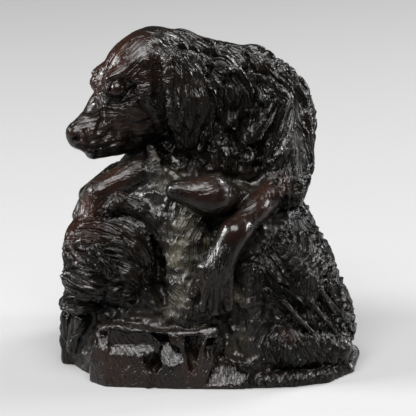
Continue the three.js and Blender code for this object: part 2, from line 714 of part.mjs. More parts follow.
// Direction of the hair at a point, kept along the surface
function hairRun(p, normal) {
  let total = [0, 0, 0];
  for (const { at, run } of STROKES) {
    const gap = minus(p, at);
    const weight = 1 / (dot(gap, gap) + 4) ** 2;
    total = plus(total, times(run, weight));
  }
  return unit(minus(total, times(normal, dot(total, normal))));
}

// The run of the hair, swung to and fro along the surface
const SWAY_CELL = 9;
const SWAY_TURN = 0.65;

function wavyRun(p, normal) {
  const run = hairRun(p, normal);
  const turn = SWAY_TURN * noise(p, SWAY_CELL, 77);
  return plus(times(run, Math.cos(turn)), times(cross(normal, run), Math.sin(turn)));
}

// Strands side by side along the run: waves that start at scattered points and blend where they meet.
// Gives 1 on the crest of a strand and -1 in the groove beside it
function strands(p, normal, run, spacing, cell, seed) {
  const aside = cross(normal, run);
  const place = p.map((value) => Math.floor(value / cell));
  const turns = 2 * Math.PI * cell / spacing;
  let real = 0;
  let imaginary = 0;
  for (let n = 0; n < 27; n += 1) {
    const i = place[0] + (n % 3) - 1;
    const j = place[1] + (Math.floor(n / 3) % 3) - 1;
    const k = place[2] + Math.floor(n / 9) - 1;
    const gap = [
      p[0] / cell - i - scatter(i, j, k, seed),
      p[1] / cell - j - scatter(i, j, k, seed + 1),
      p[2] / cell - k - scatter(i, j, k, seed + 2),
    ];
    const weight = Math.max(1 - dot(gap, gap), 0) ** 2;
    const angle = turns * dot(gap, aside) + 2 * Math.PI * scatter(i, j, k, seed + 3);
    real += weight * Math.cos(angle);
    imaginary += weight * Math.sin(angle);
  }
  return real / (Math.hypot(real, imaginary) || 1);
}

// How strongly each region is carved: locks and tresses in shares of their relief, rock in gouges
function regions() {
  return [
    { shape: head(), locks: 0.05, tresses: 0.3, rock: 0 },
    { shape: join(0.5, ear(1), ear(-1)), locks: 0.25, tresses: 1.6, rock: 0 },
    { shape: neck(), locks: 0.88, tresses: 0.8, rock: 0 },
    { shape: shoulder(), locks: 1, tresses: 0.8, rock: 0 },
    { shape: trunk(), locks: 1, tresses: 0.6, rock: 0 },
    { shape: join(1, hindquarters(), tail()), locks: 0.45, tresses: 0.5, rock: 0 },
    { shape: join(1, nearForeleg(), foldedPaw(), farForeleg()), locks: 0.03, tresses: 0, rock: 0.02 },
    { shape: mound(), locks: 0, tresses: 0, rock: 1 },
    { shape: centreRock(), locks: 0, tresses: 0, rock: 0.9 },
    { shape: chiselledBlock(), locks: 0, tresses: 0, rock: 0.08 },
    { shape: gameHead(), locks: 0.5, tresses: 1.5, rock: 0 },
    { shape: leftLeaves(), locks: 0.1, tresses: 0.3, rock: 0 },
    { shape: join(1, bag(), netCords()), locks: 0.4, tresses: 1.5, rock: 0 },
    { shape: rollAndHem(), locks: 0.2, tresses: 1.5, rock: 0 },
  ];
}

const REGIONS = regions();
const BORDER = 1.2;
const TRESS_LENGTH = 3.2 * TRESS_WIDTH;

function relief(p, normal) {
  const gaps = REGIONS.map(({ shape }) => shape(...p));
  const nearest = Math.min(...gaps);
  const share = { locks: 0, tresses: 0, rock: 0 };
  let weight = 0;
  gaps.forEach((gap, i) => {
    const closeness = Math.max(0, 1 - (gap - nearest) / BORDER) ** 2;
    share.locks += closeness * REGIONS[i].locks;
    share.tresses += closeness * REGIONS[i].tresses;
    share.rock += closeness * REGIONS[i].rock;
    weight += closeness;
  });
  let height = 0;
  if (share.locks > 0) {
    const run = wavyRun(p, normal);
    const lock = strands(p, normal, run, LOCK_WIDTH / PART, LOCK_LENGTH / PART, 11);
    const tress = strands(p, normal, run, TRESS_WIDTH / PART, TRESS_LENGTH / PART, 23);
    height += share.locks / weight * LOCK_RELIEF / PART / 2 * lock;
    height += share.tresses / weight * TRESS_RELIEF / PART / 2 * tress;
  }
  if (share.rock > 0) {
    const scoop = Math.min(gouges(p, GOUGE_WIDTH / PART, 41), 1.2) - 0.4;
    height += share.rock / weight * GOUGE_RELIEF / PART * scoop;
  }
  return height;
}

// Sampling box, in parts, a little larger than the figure
const STEP = SAMPLE_STEP / PART;
const BOX_LOW = [-50, -46, -1.5 * STEP];
const BOX_HIGH = [50, 40, 108];
const COUNTS = BOX_LOW.map((low, i) => Math.ceil((BOX_HIGH[i] - low) / STEP) + 1);
const STRIDES = [1, COUNTS[0], COUNTS[0] * COUNTS[1]];
const CARVED_BAND = 2.8;
const SANDED_BAND = 1.8;
const SANDING = 0.45;
const LEAST = 0.002;

// Sanding: close to the surface each sample moves toward the mean of its six neighbours
function sanded(values) {
  const out = Float64Array.from(values);
  const first = STRIDES[2] + STRIDES[1] + 1;
  for (let index = first; index < values.length - first; index += 1) {
    if (Math.abs(values[index]) < SANDED_BAND) {
      const around = STRIDES.reduce((sum, stride) => sum + values[index + stride] + values[index - stride], 0);
      out[index] += SANDING * (around / 6 - values[index]);
    }
  }
  return out;
}

// Distances at every sample, with the carving worked in close to the surface
function sampled() {
  const form = join(0.8, dog(), ground());
  const plain = new Float64Array(COUNTS[0] * COUNTS[1] * COUNTS[2]);
  const placeOf = (i, j, k) => [BOX_LOW[0] + i * STEP, BOX_LOW[1] + j * STEP, BOX_LOW[2] + k * STEP];
  const eachSample = (action) => {
    let index = 0;
    for (let k = 0; k < COUNTS[2]; k += 1) {
      for (let j = 0; j < COUNTS[1]; j += 1) {
        for (let i = 0; i < COUNTS[0]; i += 1) {
          action(index, placeOf(i, j, k), [i, j, k]);
          index += 1;
        }
      }
    }
  };
  eachSample((index, p) => {
    plain[index] = form(...p);
  });
  let carved = Float64Array.from(plain);
  const inner = (at) => at.every((value, axis) => value > 0 && value < COUNTS[axis] - 1);
  eachSample((index, p, at) => {
    if (Math.abs(plain[index]) < CARVED_BAND && inner(at)) {
      const slope = STRIDES.map((stride) => plain[index + stride] - plain[index - stride]);
      carved[index] -= relief(p, unit(slope));
    }
  });
  carved = sanded(carved);
  eachSample((index, p) => {
    carved[index] = Math.max(carved[index], -p[2]);
    if (Math.abs(carved[index]) < LEAST) carved[index] = LEAST;
  });
  return carved;
}

// Six tetrahedra that share a cell's long diagonal; corners are numbered by bits x, y, z
const TETRAHEDRA = [
  [0, 1, 3, 7], [0, 3, 2, 7], [0, 2, 6, 7], [0, 6, 4, 7], [0, 4, 5, 7], [0, 5, 1, 7],
];

// Surface between inside and outside samples, as shared points and triangles
function surfaceOf(values) {
  const points = [];
  const triangles = [];
  const known = new Map();
  const cornerOffset = (corner) => (
    (corner & 1) * STRIDES[0] + ((corner >> 1) & 1) * STRIDES[1] + (corner >> 2) * STRIDES[2]
  );
  const placeOf = (index) => {
    const k = Math.floor(index / STRIDES[2]);
    const j = Math.floor((index - k * STRIDES[2]) / STRIDES[1]);
    const i = index - k * STRIDES[2] - j * STRIDES[1];
    return [BOX_LOW[0] + i * STEP, BOX_LOW[1] + j * STEP, BOX_LOW[2] + k * STEP];
  };
  const crossing = (a, b) => {
    const low = Math.min(a, b);
    const high = Math.max(a, b);
    const key = low * STRIDES[2] * 2 + (high - low);
    let found = known.get(key);
    if (found === undefined) {
      const share = values[low] / (values[low] - values[high]);
      const from = placeOf(low);
      found = points.push(plus(from, times(minus(placeOf(high), from), share))) - 1;
      known.set(key, found);
    }
    return found;
  };
  const addTriangle = (a, b, c) => triangles.push([a, b, c]);
  const cutTetrahedron = (corners) => {
    const inside = corners.filter((corner) => values[corner] < 0);
    const outside = corners.filter((corner) => values[corner] >= 0);
    if (inside.length === 0 || outside.length === 0) return;
    const rings = {
      1: () => outside.map((corner) => crossing(inside[0], corner)),
      2: () => [
        crossing(inside[0], outside[0]),
        crossing(inside[0], outside[1]),
        crossing(inside[1], outside[1]),
        crossing(inside[1], outside[0]),
      ],
      3: () => inside.map((corner) => crossing(corner, outside[0])),
    };
    const ring = rings[inside.length]();
    const normal = cross(minus(points[ring[1]], points[ring[0]]), minus(points[ring[2]], points[ring[0]]));
    const outward = minus(placeOf(outside[0]), placeOf(inside[0]));
    if (dot(normal, outward) < 0) ring.reverse();
    addTriangle(ring[0], ring[1], ring[2]);
    if (ring.length === 4) addTriangle(ring[0], ring[2], ring[3]);
  };
  for (let k = 0; k < COUNTS[2] - 1; k += 1) {
    for (let j = 0; j < COUNTS[1] - 1; j += 1) {
      for (let i = 0; i < COUNTS[0] - 1; i += 1) {
        const base = i + j * STRIDES[1] + k * STRIDES[2];
        const signs = [0, 1, 2, 3, 4, 5, 6, 7].map((corner) => values[base + cornerOffset(corner)] < 0);
        if (signs.every((sign) => sign === signs[0])) continue;
        for (const corners of TETRAHEDRA) {
          cutTetrahedron(corners.map((corner) => base + cornerOffset(corner)));
        }
      }
    }
  }
  return { points, triangles };
}

// Thinning: short edges on flat ground are drawn together first, by the squared
// distance to the planes of the facets around them
const FOOT_TOLERANCE = 0.05;
const FLATTEST = 0.15;

const planeOf = ([a, b, c]) => {
  const normal = cross(minus(b, a), minus(c, a));
  const size = Math.hypot(...normal);
  const n = times(normal, 1 / (size || 1));
  return { normal: n, level: -dot(n, a), area: size / 2 };
};

function planeError({ normal: [a, b, c], level: d, area }) {
  return [a * a, a * b, a * c, a * d, b * b, b * c, b * d, c * c, c * d, d * d].map((v) => v * area);
}

function errorAt(q, [x, y, z]) {
  return q[0] * x * x + 2 * q[1] * x * y + 2 * q[2] * x * z + 2 * q[3] * x
    + q[4] * y * y + 2 * q[5] * y * z + 2 * q[6] * y
    + q[7] * z * z + 2 * q[8] * z + q[9];
}

function bestPoint(q, from, to) {
  const rows = [[q[0], q[1], q[2]], [q[1], q[4], q[5]], [q[2], q[5], q[7]]];
  const det = dot(rows[0], cross(rows[1], rows[2]));
  const middle = times(plus(from, to), 0.5);
  const choices = [from, to, middle];
  const scale = (q[0] + q[4] + q[7]) ** 3;
  if (Math.abs(det) > 1e-4 * scale) {
    const side = [-q[3], -q[6], -q[8]];
    const solved = [
      dot(side, cross(rows[1], rows[2])) / det,
      dot(rows[0], cross(side, rows[2])) / det,
      dot(rows[0], cross(rows[1], side)) / det,
    ];
    const reach = Math.hypot(...minus(to, from));
    if (Math.hypot(...minus(solved, middle)) < 1.5 * reach) choices.push(solved);
  }
  return choices.reduce((best, p) => (errorAt(q, p) < errorAt(q, best) ? p : best));
}

// Edges wait in a heap, cheapest first
class Heap {
  constructor() {
    this.items = [];
  }

  push(item) {
    const { items } = this;
    let i = items.push(item) - 1;
    while (i > 0) {
      const parent = (i - 1) >> 1;
      if (items[parent].cost <= item.cost) break;
      items[i] = items[parent];
      i = parent;
    }
    items[i] = item;
  }

  pop() {
    const { items } = this;
    const top = items[0];
    const last = items.pop();
    if (items.length === 0) return top;
    let i = 0;
    for (;;) {
      let child = 2 * i + 1;
      if (child >= items.length) break;
      if (child + 1 < items.length && items[child + 1].cost < items[child].cost) child += 1;
      if (items[child].cost >= last.cost) break;
      items[i] = items[child];
      i = child;
    }
    items[i] = last;
    return top;
  }
}

function thinned({ points, triangles }, keep) {
  const around = points.map(() => new Set());
  const errors = points.map(() => new Array(10).fill(0));
  const version = new Int32Array(points.length);
  const alive = new Uint8Array(triangles.length).fill(1);
  triangles.forEach((corners, t) => {
    const share = planeError(planeOf(corners.map((corner) => points[corner])));
    for (const corner of corners) {
      around[corner].add(t);
      share.forEach((value, i) => {
        errors[corner][i] += value;
      });
    }
  });
  const neighbours = (v) => {
    const found = new Set();
    for (const t of around[v]) triangles[t].forEach((corner) => found.add(corner));
    found.delete(v);
    return found;
  };
  const onFoot = (v) => points[v][2] < FOOT_TOLERANCE;
  const heap = new Heap();
  const offer = (a, b) => {
    const sum = errors[a].map((value, i) => value + errors[b][i]);
    let place = bestPoint(sum, points[a], points[b]);
    if (onFoot(a) && onFoot(b)) place = [place[0], place[1], 0];
    else if (onFoot(a)) place = points[a];
    else if (onFoot(b)) place = points[b];
    const length = Math.hypot(...minus(points[a], points[b]));
    const cost = errorAt(sum, place) + 1e-4 * length * length;
    heap.push({ a, b, place, sum, cost, versions: [version[a], version[b]] });
  };
  points.forEach((_, v) => {
    for (const other of neighbours(v)) if (other > v) offer(v, other);
  });
  const keepsFacing = (v, other, place) => {
    for (const t of around[v]) {
      const corners = triangles[t];
      if (corners.includes(other)) continue;
      const before = planeOf(corners.map((corner) => points[corner]));
      const after = planeOf(corners.map((corner) => (corner === v ? place : points[corner])));
      if (after.area < 1e-4 || dot(before.normal, after.normal) < FLATTEST) return false;
    }
    return true;
  };
  let left = triangles.length;
  while (left > keep && heap.items.length > 0) {
    const { a, b, place, sum, versions } = heap.pop();
    if (version[a] !== versions[0] || version[b] !== versions[1]) continue;
    const besideB = neighbours(b);
    const shared = [...neighbours(a)].filter((v) => besideB.has(v));
    if (shared.length !== 2 || !keepsFacing(a, b, place) || !keepsFacing(b, a, place)) continue;
    for (const t of [...around[b]]) {
      if (triangles[t].includes(a)) {
        alive[t] = 0;
        left -= 1;
        triangles[t].forEach((corner) => around[corner].delete(t));
      } else {
        triangles[t] = triangles[t].map((corner) => (corner === b ? a : corner));
        around[a].add(t);
      }
    }
    around[b].clear();
    points[a] = place;
    errors[a] = sum;
    version[a] += 1;
    version[b] = -1;
    for (const other of neighbours(a)) offer(a, other);
  }
  return { points, triangles: triangles.filter((_, t) => alive[t]) };
}

// Only the largest body is kept, should the carving have cut a crumb loose
function largestBody({ points, triangles }) {
  const parent = points.map((_, i) => i);
  const rootOf = (v) => {
    let root = v;
    while (parent[root] !== root) root = parent[root];
    while (parent[v] !== root) [v, parent[v]] = [parent[v], root];
    return root;
  };
  for (const [a, b, c] of triangles) {
    parent[rootOf(a)] = rootOf(b);
    parent[rootOf(b)] = rootOf(c);
  }
  const sizes = new Map();
  triangles.forEach(([a]) => sizes.set(rootOf(a), (sizes.get(rootOf(a)) || 0) + 1));
  const [biggest] = [...sizes].sort((a, b) => b[1] - a[1])[0];
  return { points, triangles: triangles.filter(([a]) => rootOf(a) === biggest) };
}

// The finished surface in millimetres, centred over its footprint box
function carvedGeometry() {
  const { points, triangles } = thinned(largestBody(surfaceOf(sampled())), TRIANGLES);
  const order = new Map();
  const places = [];
  const indices = triangles.flat().map((corner) => {
    if (!order.has(corner)) {
      order.set(corner, places.length / 3);
      const [x, y, z] = points[corner];
      places.push(x * PART, y * PART, z < FOOT_TOLERANCE ? 0 : z * PART);
    }
    return order.get(corner);
  });
  const geometry = new THREE.BufferGeometry();
  geometry.setAttribute('position', new THREE.Float32BufferAttribute(places, 3));
  geometry.setIndex(indices);
  geometry.computeBoundingBox();
  const middle = geometry.boundingBox.getCenter(new THREE.Vector3());
  geometry.translate(-middle.x, -middle.y, 0);
  geometry.computeVertexNormals();
  return geometry;
}

const stainedWalnut = new THREE.MeshStandardMaterial({
  name: 'stained_walnut',
  color: 0x35261d,
  roughness: 0.42,
  metalness: 0,
});

const carvedDog = new THREE.Mesh(carvedGeometry(), stainedWalnut);
carvedDog.name = 'carved_dog';

const model = new THREE.Group();
model.name = 'carved_wooden_dog';
model.add(carvedDog);

export default model;
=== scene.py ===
"""Carved wooden dog on a rocky mound: the carved surface, its stained wood, and a plain studio."""
import math
import bmesh
import bpy
import numpy as np
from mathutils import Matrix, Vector


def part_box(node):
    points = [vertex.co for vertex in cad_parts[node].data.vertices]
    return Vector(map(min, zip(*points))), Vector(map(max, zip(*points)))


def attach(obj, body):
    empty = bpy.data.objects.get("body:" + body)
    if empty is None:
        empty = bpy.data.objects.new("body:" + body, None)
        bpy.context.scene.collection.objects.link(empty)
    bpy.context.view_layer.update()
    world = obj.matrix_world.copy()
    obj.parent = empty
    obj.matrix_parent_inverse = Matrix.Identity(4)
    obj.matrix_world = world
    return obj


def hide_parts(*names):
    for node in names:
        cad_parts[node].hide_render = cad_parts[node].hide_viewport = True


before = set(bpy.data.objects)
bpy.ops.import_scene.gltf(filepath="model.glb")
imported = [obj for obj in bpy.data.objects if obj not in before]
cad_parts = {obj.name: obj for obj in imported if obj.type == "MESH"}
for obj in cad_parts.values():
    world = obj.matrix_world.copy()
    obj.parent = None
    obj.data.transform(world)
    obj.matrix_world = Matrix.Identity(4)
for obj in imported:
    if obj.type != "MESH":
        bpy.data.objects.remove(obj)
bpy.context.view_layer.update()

NODE = "carved_dog"
PART = 0.216 / 100            # metres in one part of the figure's height
FINEST = 0.42     # sampling of the surface, in parts
MOST_TRIANGLES = 196000

# Points are placed as a viewer in front sees them, looking 16 degrees down:
# across to the right, up the picture, and depth away from the viewer along Y
TILT = math.radians(16)


def seen(across, up, depth):
    return np.array([across, depth, (up - math.sin(TILT) * depth) / math.cos(TILT)], np.float32)


def unit(v):
    v = np.asarray(v, np.float32)
    return v / np.linalg.norm(v)


def length(rows):
    return np.sqrt(np.einsum("ij,ij->i", rows, rows))


# Noise, and places scattered one to a cell, all from a hash of the cell's numbers and a seed
CORNERS = np.array([[i, j, k] for i in (0, 1) for j in (0, 1) for k in (0, 1)])


def scatter(i, j, k, seed):
    u = np.uint32
    h = (i.astype(u) * u(0x8DA6B343)) ^ (j.astype(u) * u(0xD8163841))
    h ^= (k.astype(u) * u(0xCB1AB31F)) ^ u(seed * 0x9E3779B1 & 0xFFFFFFFF)
    h ^= h >> u(15)
    h *= u(0x2C1B3C6D)
    h ^= h >> u(12)
    h *= u(0x297A2D39)
    h ^= h >> u(15)
    return h.astype(np.float32) / np.float32(4294967296.0)


def noise(p, cell, seed):
    """Smooth noise from -1 to 1 with the given cell size."""
    q = p / cell
    whole = np.floor(q)
    f = (q - whole).astype(np.float32)
    i = whole.astype(np.int32)
    f = f * f * (3 - 2 * f)
    total = 0
    for a, b, c in CORNERS:
        w = f[:, 0] if a else 1 - f[:, 0]
        w = w * (f[:, 1] if b else 1 - f[:, 1])
        w = w * (f[:, 2] if c else 1 - f[:, 2])
        total = total + w * scatter(i[:, 0] + a, i[:, 1] + b, i[:, 2] + c, seed)
    return total * 2 - 1


def gouges(p, cell, seed):
    """Squared distance to the nearest scattered place, in cells: round scoops side by side."""
    q = p / cell
    i = np.floor(q).astype(np.int32)
    nearest = np.full(len(p), 9.0, np.float32)
    for a in (-1, 0, 1):
        for b in (-1, 0, 1):
            for c in (-1, 0, 1):
                g = i + np.array([a, b, c], np.int32)
                o = np.stack([scatter(g[:, 0], g[:, 1], g[:, 2], seed + n) for n in range(3)], 1)
                e = g + 0.15 + 0.7 * o - q
                nearest = np.minimum(nearest, np.einsum("ij,ij->i", e, e).astype(np.float32))
    return nearest


# Shapes: each gives the distance from its surface, negative inside
def ball(p, centre, radius):
    return length(p - centre) - radius


def axes_along(along):
    first = unit(along)
    second = unit(np.cross((0, 0, 1), first))
    return np.stack([first, second, np.cross(first, second)]).astype(np.float32)


def blob(p, centre, radii, axes=np.eye(3, dtype=np.float32)):
    q = (p - centre) @ axes.T
    r = np.asarray(radii, np.float32)
    near = length(q / r)
    slope = length(q / (r * r))
    return near * (near - 1) / np.maximum(slope, 1e-6)


def limb(p, start, end, start_radius, end_radius):
    run = end - start
    along = np.clip((p - start) @ run / (run @ run), 0, 1)
    radius = start_radius + (end_radius - start_radius) * along
    return length(p - start - along[:, None] * run) - radius


def flat_limb(p, start, end, start_radius, end_radius, normal, squash):
    n = unit(normal)
    stretch = 1 / squash - 1
    q = p + np.outer((p - start) @ n, n) * stretch
    far = (end + n * ((end - start) @ n) * stretch).astype(np.float32)
    return limb(q, start, far, start_radius, end_radius) * (0.5 + 0.5 * squash)


def behind(p, point, normal):
    return (p - point) @ unit(normal)


def smooth_lower(a, b, blend):
    h = np.maximum(blend - np.abs(a - b), 0) / blend
    return np.minimum(a, b) - h * h * blend * 0.25


def join(blend, *distances):
    out = distances[0]
    for d in distances[1:]:
        out = smooth_lower(out, d, blend)
    return out


def carve(blend, solid, tool):
    return -smooth_lower(-solid, tool, blend)


def all_of(*distances):
    out = distances[0]
    for d in distances[1:]:
        out = np.maximum(out, d)
    return out


def rope(p, points, radius, blend=1.0):
    return join(blend, *[limb(p, a, b, radius, radius) for a, b in zip(points, points[1:])])


def up_of(p):
    return p[:, 2] * math.cos(TILT) + p[:, 1] * math.sin(TILT)


# How a chiselled edge strays from its straight line: how far, over what length, and seed
WAVERS = ((0.4, 1.9, 71), (0.7, 4.6, 74))
FAR_AWAY = 1e3


def outline(p, corners):
    """Distance from an outline as it is seen, through the whole depth."""
    x, y = p[:, 0], up_of(p)
    for size, cell, seed in WAVERS:
        x = x + size * noise(p, cell, seed)
        y = y + size * noise(p, cell, seed + 1)
    nearest = np.full(len(p), FAR_AWAY)
    inside = np.zeros(len(p), bool)
    for (ax, ay), (bx, by) in zip(corners, corners[1:] + corners[:1]):
        ex, ey = bx - ax, by - ay
        along = np.clip(((x - ax) * ex + (y - ay) * ey) / (ex * ex + ey * ey), 0, 1)
        nearest = np.minimum(nearest, np.hypot(x - ax - along * ex, y - ay - along * ey))
        if ey:
            inside ^= ((ay > y) != (by > y)) & (x < ex * (y - ay) / ey + ax)
    return np.where(inside, -nearest, nearest)


# The head's own frame: forward along the nose, out to the near side, and up
YAW, DROOP = math.radians(28), math.radians(25)
HEAD_CENTRE = seen(-18.5, 83.5, -6)
FORWARD = np.array([
    -math.cos(YAW) * math.cos(DROOP),
    -math.sin(YAW) * math.cos(DROOP),
    -math.sin(DROOP),
])
NEAR_SIDE = np.array([math.sin(YAW), -math.cos(YAW), 0])
HEAD_AXES = np.stack([FORWARD, NEAR_SIDE, np.cross(FORWARD, NEAR_SIDE)]).astype(np.float32)


def v3(*values):
    return np.array(values, np.float32)


EYE_AT = v3(12.4, 5.6, 1.0)
EYEBALL = 2.55
FAR_SIDE_NARROWER = 1.16


def either_side(q):
    """Places with both sides of the head laid over each other, the far side a little narrower."""
    m = q.copy()
    m[:, 1] = np.where(q[:, 1] < 0, -q[:, 1] * FAR_SIDE_NARROWER, q[:, 1])
    return m


def on_eye(p):
    """1 on an eyeball, fading to 0 just beyond its lids."""
    lids_end, fade = 3.3, 0.8
    q = either_side((p - HEAD_CENTRE) @ HEAD_AXES.T)
    return np.clip((lids_end - length(q - EYE_AT)) / fade, 0, 1)


def head(p):
    q = (p - HEAD_CENTRE) @ HEAD_AXES.T
    m = either_side(q)
    skull = blob(q, v3(-2.2, 0, -0.5), (12.0, 9.8, 10.9))
    cheeks = blob(m, v3(4.5, 4.5, -10), (10.5, 5.6, 9.5))
    forehead = blob(q, v3(4.6, 0, 0.4), (6.8, 6.4, 7.5))
    stop = limb(q, v3(5, 0, 0.5), v3(15.5, 0, -3.8), 6.4, 4.1)
    muzzle = flat_limb(q, v3(13, 0, -7.7), v3(26.6, 0, -7.8), 7.6, 4.4, (0, 1, 0), 0.78)
    jaw = flat_limb(q, v3(8, 0, -17.8), v3(25.0, 0, -14.2), 6.4, 2.9, (0, 1, 0), 0.85)
    lips = blob(m, v3(21.5, 2.6, -11.2), (8.4, 3.2, 4.7), axes_along((1, 0, 0.34)))
    lip_folds = [
        blob(m, v3(25.0, 3.3, -9.8), (2.6, 1.7, 2.0)),
        blob(m, v3(18.5, 4.6, -13.8), (3.2, 1.7, 2.2)),
        blob(m, v3(11.0, 5.6, -14.8), (3.6, 1.8, 2.0)),
    ]
    roof = all_of(
        behind(m, v3(20, 3.3, -4.4), (0.16, 0.66, 0.73)),
        behind(m, v3(18, 5.6, -9), (0.18, 1, -0.1)),
        behind(m, v3(26.6, 0, 0), (1, 0, 0.1)),
        behind(m, v3(8.5, 0, 0), (-1, 0, 0.2)),
        behind(m, v3(0, 0, -11.5), (0, 0, -1)),
    )
    nose = blob(q, v3(28.2, 0, -6.0), (2.2, 2.9, 2.2))
    orbits = blob(m, v3(9.3, 3.6, 0.8), (6.0, 3.5, 4.6), axes_along((1, 0, 0.2)))
    brows = blob(m, v3(10.2, 4.7, 4.4), (4.4, 2.0, 1.6), axes_along((1, 0, 0.15)))
    cheekbones = limb(m, v3(12, 6.4, -3.6), v3(1, 9.2, -2.6), 1.8, 2.6)
    d = join(5, join(5, skull, cheeks), join(4, forehead, stop))
    d = join(2.2, join(1.6, join(5, d, muzzle), roof), jaw)
    d = join(1.6, d, lips)
    d = join(1.2, d, nose, *lip_folds)
    d = join(2.2, d, orbits, cheekbones)
    d = join(1.2, d, brows)
    eye_at = EYE_AT - v3(0, 1.0, 0)
    lid_axes = axes_along((1, 0, 0.6))
    d = carve(1.6, d, blob(m, eye_at + v3(0.2, 2.8, -0.2), (4.6, 2.4, 3.9), lid_axes))
    d = join(0.7, d, blob(m, eye_at, (4.1, 2.8, 3.3), lid_axes))
    d = carve(0.1, d, blob(m, eye_at + v3(0, 2.0, 0), (3.05, 2.6, 2.85), lid_axes))
    d = join(0.05, d, ball(m, EYE_AT, EYEBALL))
    fold_at = [eye_at + v3(*at) for at in ((2.4, 2.0, -4.2), (-0.8, 2.8, -4.4), (-3.6, 3.0, -3.2))]
    d = carve(0.4, d, rope(m, fold_at, 0.45))
    d = carve(0.5, d, blob(m, v3(29.2, 2.5, -7.0), (1.3, 0.9, 0.9)))
    corner = v3(23.5, 4.9, -14.8)
    mouth = join(
        0.3,
        limb(m, v3(28.2, 2.6, -10.6), corner, 0.5, 0.6),
        limb(m, corner, v3(13, 6.2, -17), 0.6, 0.5),
    )
    return carve(0.8, d, mouth)


def ear(p, side):
    outward = (NEAR_SIDE * side).astype(np.float32)
    root = (v3(-5, 8.6 * side, 2) @ HEAD_AXES + HEAD_CENTRE).astype(np.float32)

    def hang(across, down, out):
        return (root + v3(across, 0, -down) + outward * out).astype(np.float32)

    fold = flat_limb(p, root, hang(3.0, 4, 2.0), 3.2, 6.2, outward, 0.42)
    flap = flat_limb(p, hang(3.6, 4, 2.0), hang(5.2, 15, 3.2), 6.4, 7.8, outward, 0.34)
    tip = flat_limb(p, hang(5.2, 15, 3.2), hang(4.6, 22.5, 3.0), 7.8, 4.6, outward, 0.34)
    return join(1.5, fold, flap, tip)


def ears(p):
    return join(0.5, ear(p, 1), ear(p, -1))


def neck(p):
    nape = limb(p, seen(-8, 81.9, -2), seen(8, 75.8, 0), 11.8, 13.2)
    throat = limb(p, seen(-8, 66, -4), seen(5, 63, -4), 8, 8.5)
    mane = join(
        3,
        limb(p, seen(0, 62, -8), seen(6, 57, -10), 6.5, 6.0),
        limb(p, seen(6, 57, -10), seen(12, 54, -11), 6.0, 5.5),
    )
    breast = blob(p, seen(-6, 53, -4), (10, 12, 9))
    return join(3, join(4, join(6, nape, throat), mane), breast)


def body(p):
    blade = blob(p, seen(17.4, 67.4, 0), (11.3, 15, 18.2))
    upper_arm = join(
        3,
        blob(p, seen(24, 57, -6), (6.6, 12, 13)),
        limb(p, seen(23.5, 57, -13), seen(23.6, 46.8, -19.5), 6.5, 4.8),
    )
    withers = ball(p, seen(14, 84.0, 0), 5)
    ribs = limb(p, seen(16, 69, 5), seen(-8, 54, 15), 15.5, 14)
    flank = blob(p, seen(-17, 46, 12), (12, 11, 13))
    return join(5, join(4, blade, upper_arm, withers), join(5, ribs, flank))


def hindquarters(p):
    haunch = blob(p, v3(-20, 19, 37), (13, 10, 14))
    thigh = limb(p, v3(-27, 24, 33), v3(-12, 28, 21), 7.0, 5.0)
    hock = limb(p, v3(-12, 25.5, 21), v3(-20, 25.5, 10), 5.0, 4.6)
    foot = flat_limb(p, v3(-20, 26.5, 7), v3(-7, 28.5, 4), 4.8, 4.2, (0, 0, 1), 0.8)
    return join(2, join(4, haunch, thigh), hock, foot)


def tail(p):
    return join(
        2,
        limb(p, v3(-33, 15, 34), v3(-37, 15, 22), 4.4, 4.6),
        limb(p, v3(-37, 15, 22), v3(-31, 21, 11), 4.6, 3.8),
        limb(p, v3(-31, 21, 11), v3(-26, 24, 4), 3.8, 3.0),
    )


def toes(p, roots, tips, root_radius, tip_radius):
    return join(0.2, *[limb(p, a, b, root_radius, tip_radius) for a, b in zip(roots, tips)])


def near_foreleg(p):
    elbow, forearm = seen(20.5, 47.5, -17), seen(14, 41, -25.5)
    wrist, knuckles = seen(8, 34, -32.5), seen(2.2, 23.5, -36)
    tips = [seen(-3.8, 16.8, -36.6), seen(-1.0, 12.8, -38.4), seen(2.4, 11.8, -38.8),
            seen(6.2, 13.0, -37.4)]
    roots = [seen(-1.2, 24.5, -36.2), seen(1.0, 24, -38.2), seen(3.6, 23.8, -38.2),
             seen(5.8, 24.5, -36.2)]
    leg = join(
        2,
        limb(p, elbow, forearm, 4.8, 3.8),
        limb(p, forearm, wrist, 3.8, 4.3),
        limb(p, wrist, knuckles, 4.4, 4.5),
    )
    gaps = [limb(p, (a + b) / 2 + v3(0, -2.2, 0), (c + d) / 2 + v3(0, -1.4, 0), 0.6, 1.15)
            for a, b, c, d in zip(roots, roots[1:], tips, tips[1:])]
    return carve(0.5, join(0.6, leg, toes(p, roots, tips, 1.9, 1.7)), np.minimum.reduce(gaps))


def folded_paw(p):
    knuckles, wrist = seen(-8.8, 46.6, -30), seen(1.2, 45.2, -27)
    return join(3, limb(p, knuckles, wrist, 3.3, 5.8), limb(p, wrist, seen(8, 44, -19), 5.8, 4.6))


def far_foreleg(p):
    forearm = limb(p, seen(-20, 52, -15), seen(-32, 46.3, -18), 5.0, 4.0)
    tips = [seen(-37.6, 39.5, -16), seen(-36.2, 38.8, -19.5), seen(-34, 39.5, -21.5)]
    roots = [seen(-34.4, 45.2, -14.5), seen(-34, 45, -17.5), seen(-32.4, 44.4, -19.5)]
    ledge = limb(p, seen(-27, 52, -8), seen(-35, 45.5, -10), 3.2, 3.2)
    return join(1, join(1.4, forearm, toes(p, roots, tips, 2.9, 2.3)), ledge)


def legs(p):
    return join(0.8, near_foreleg(p), folded_paw(p), far_foreleg(p))


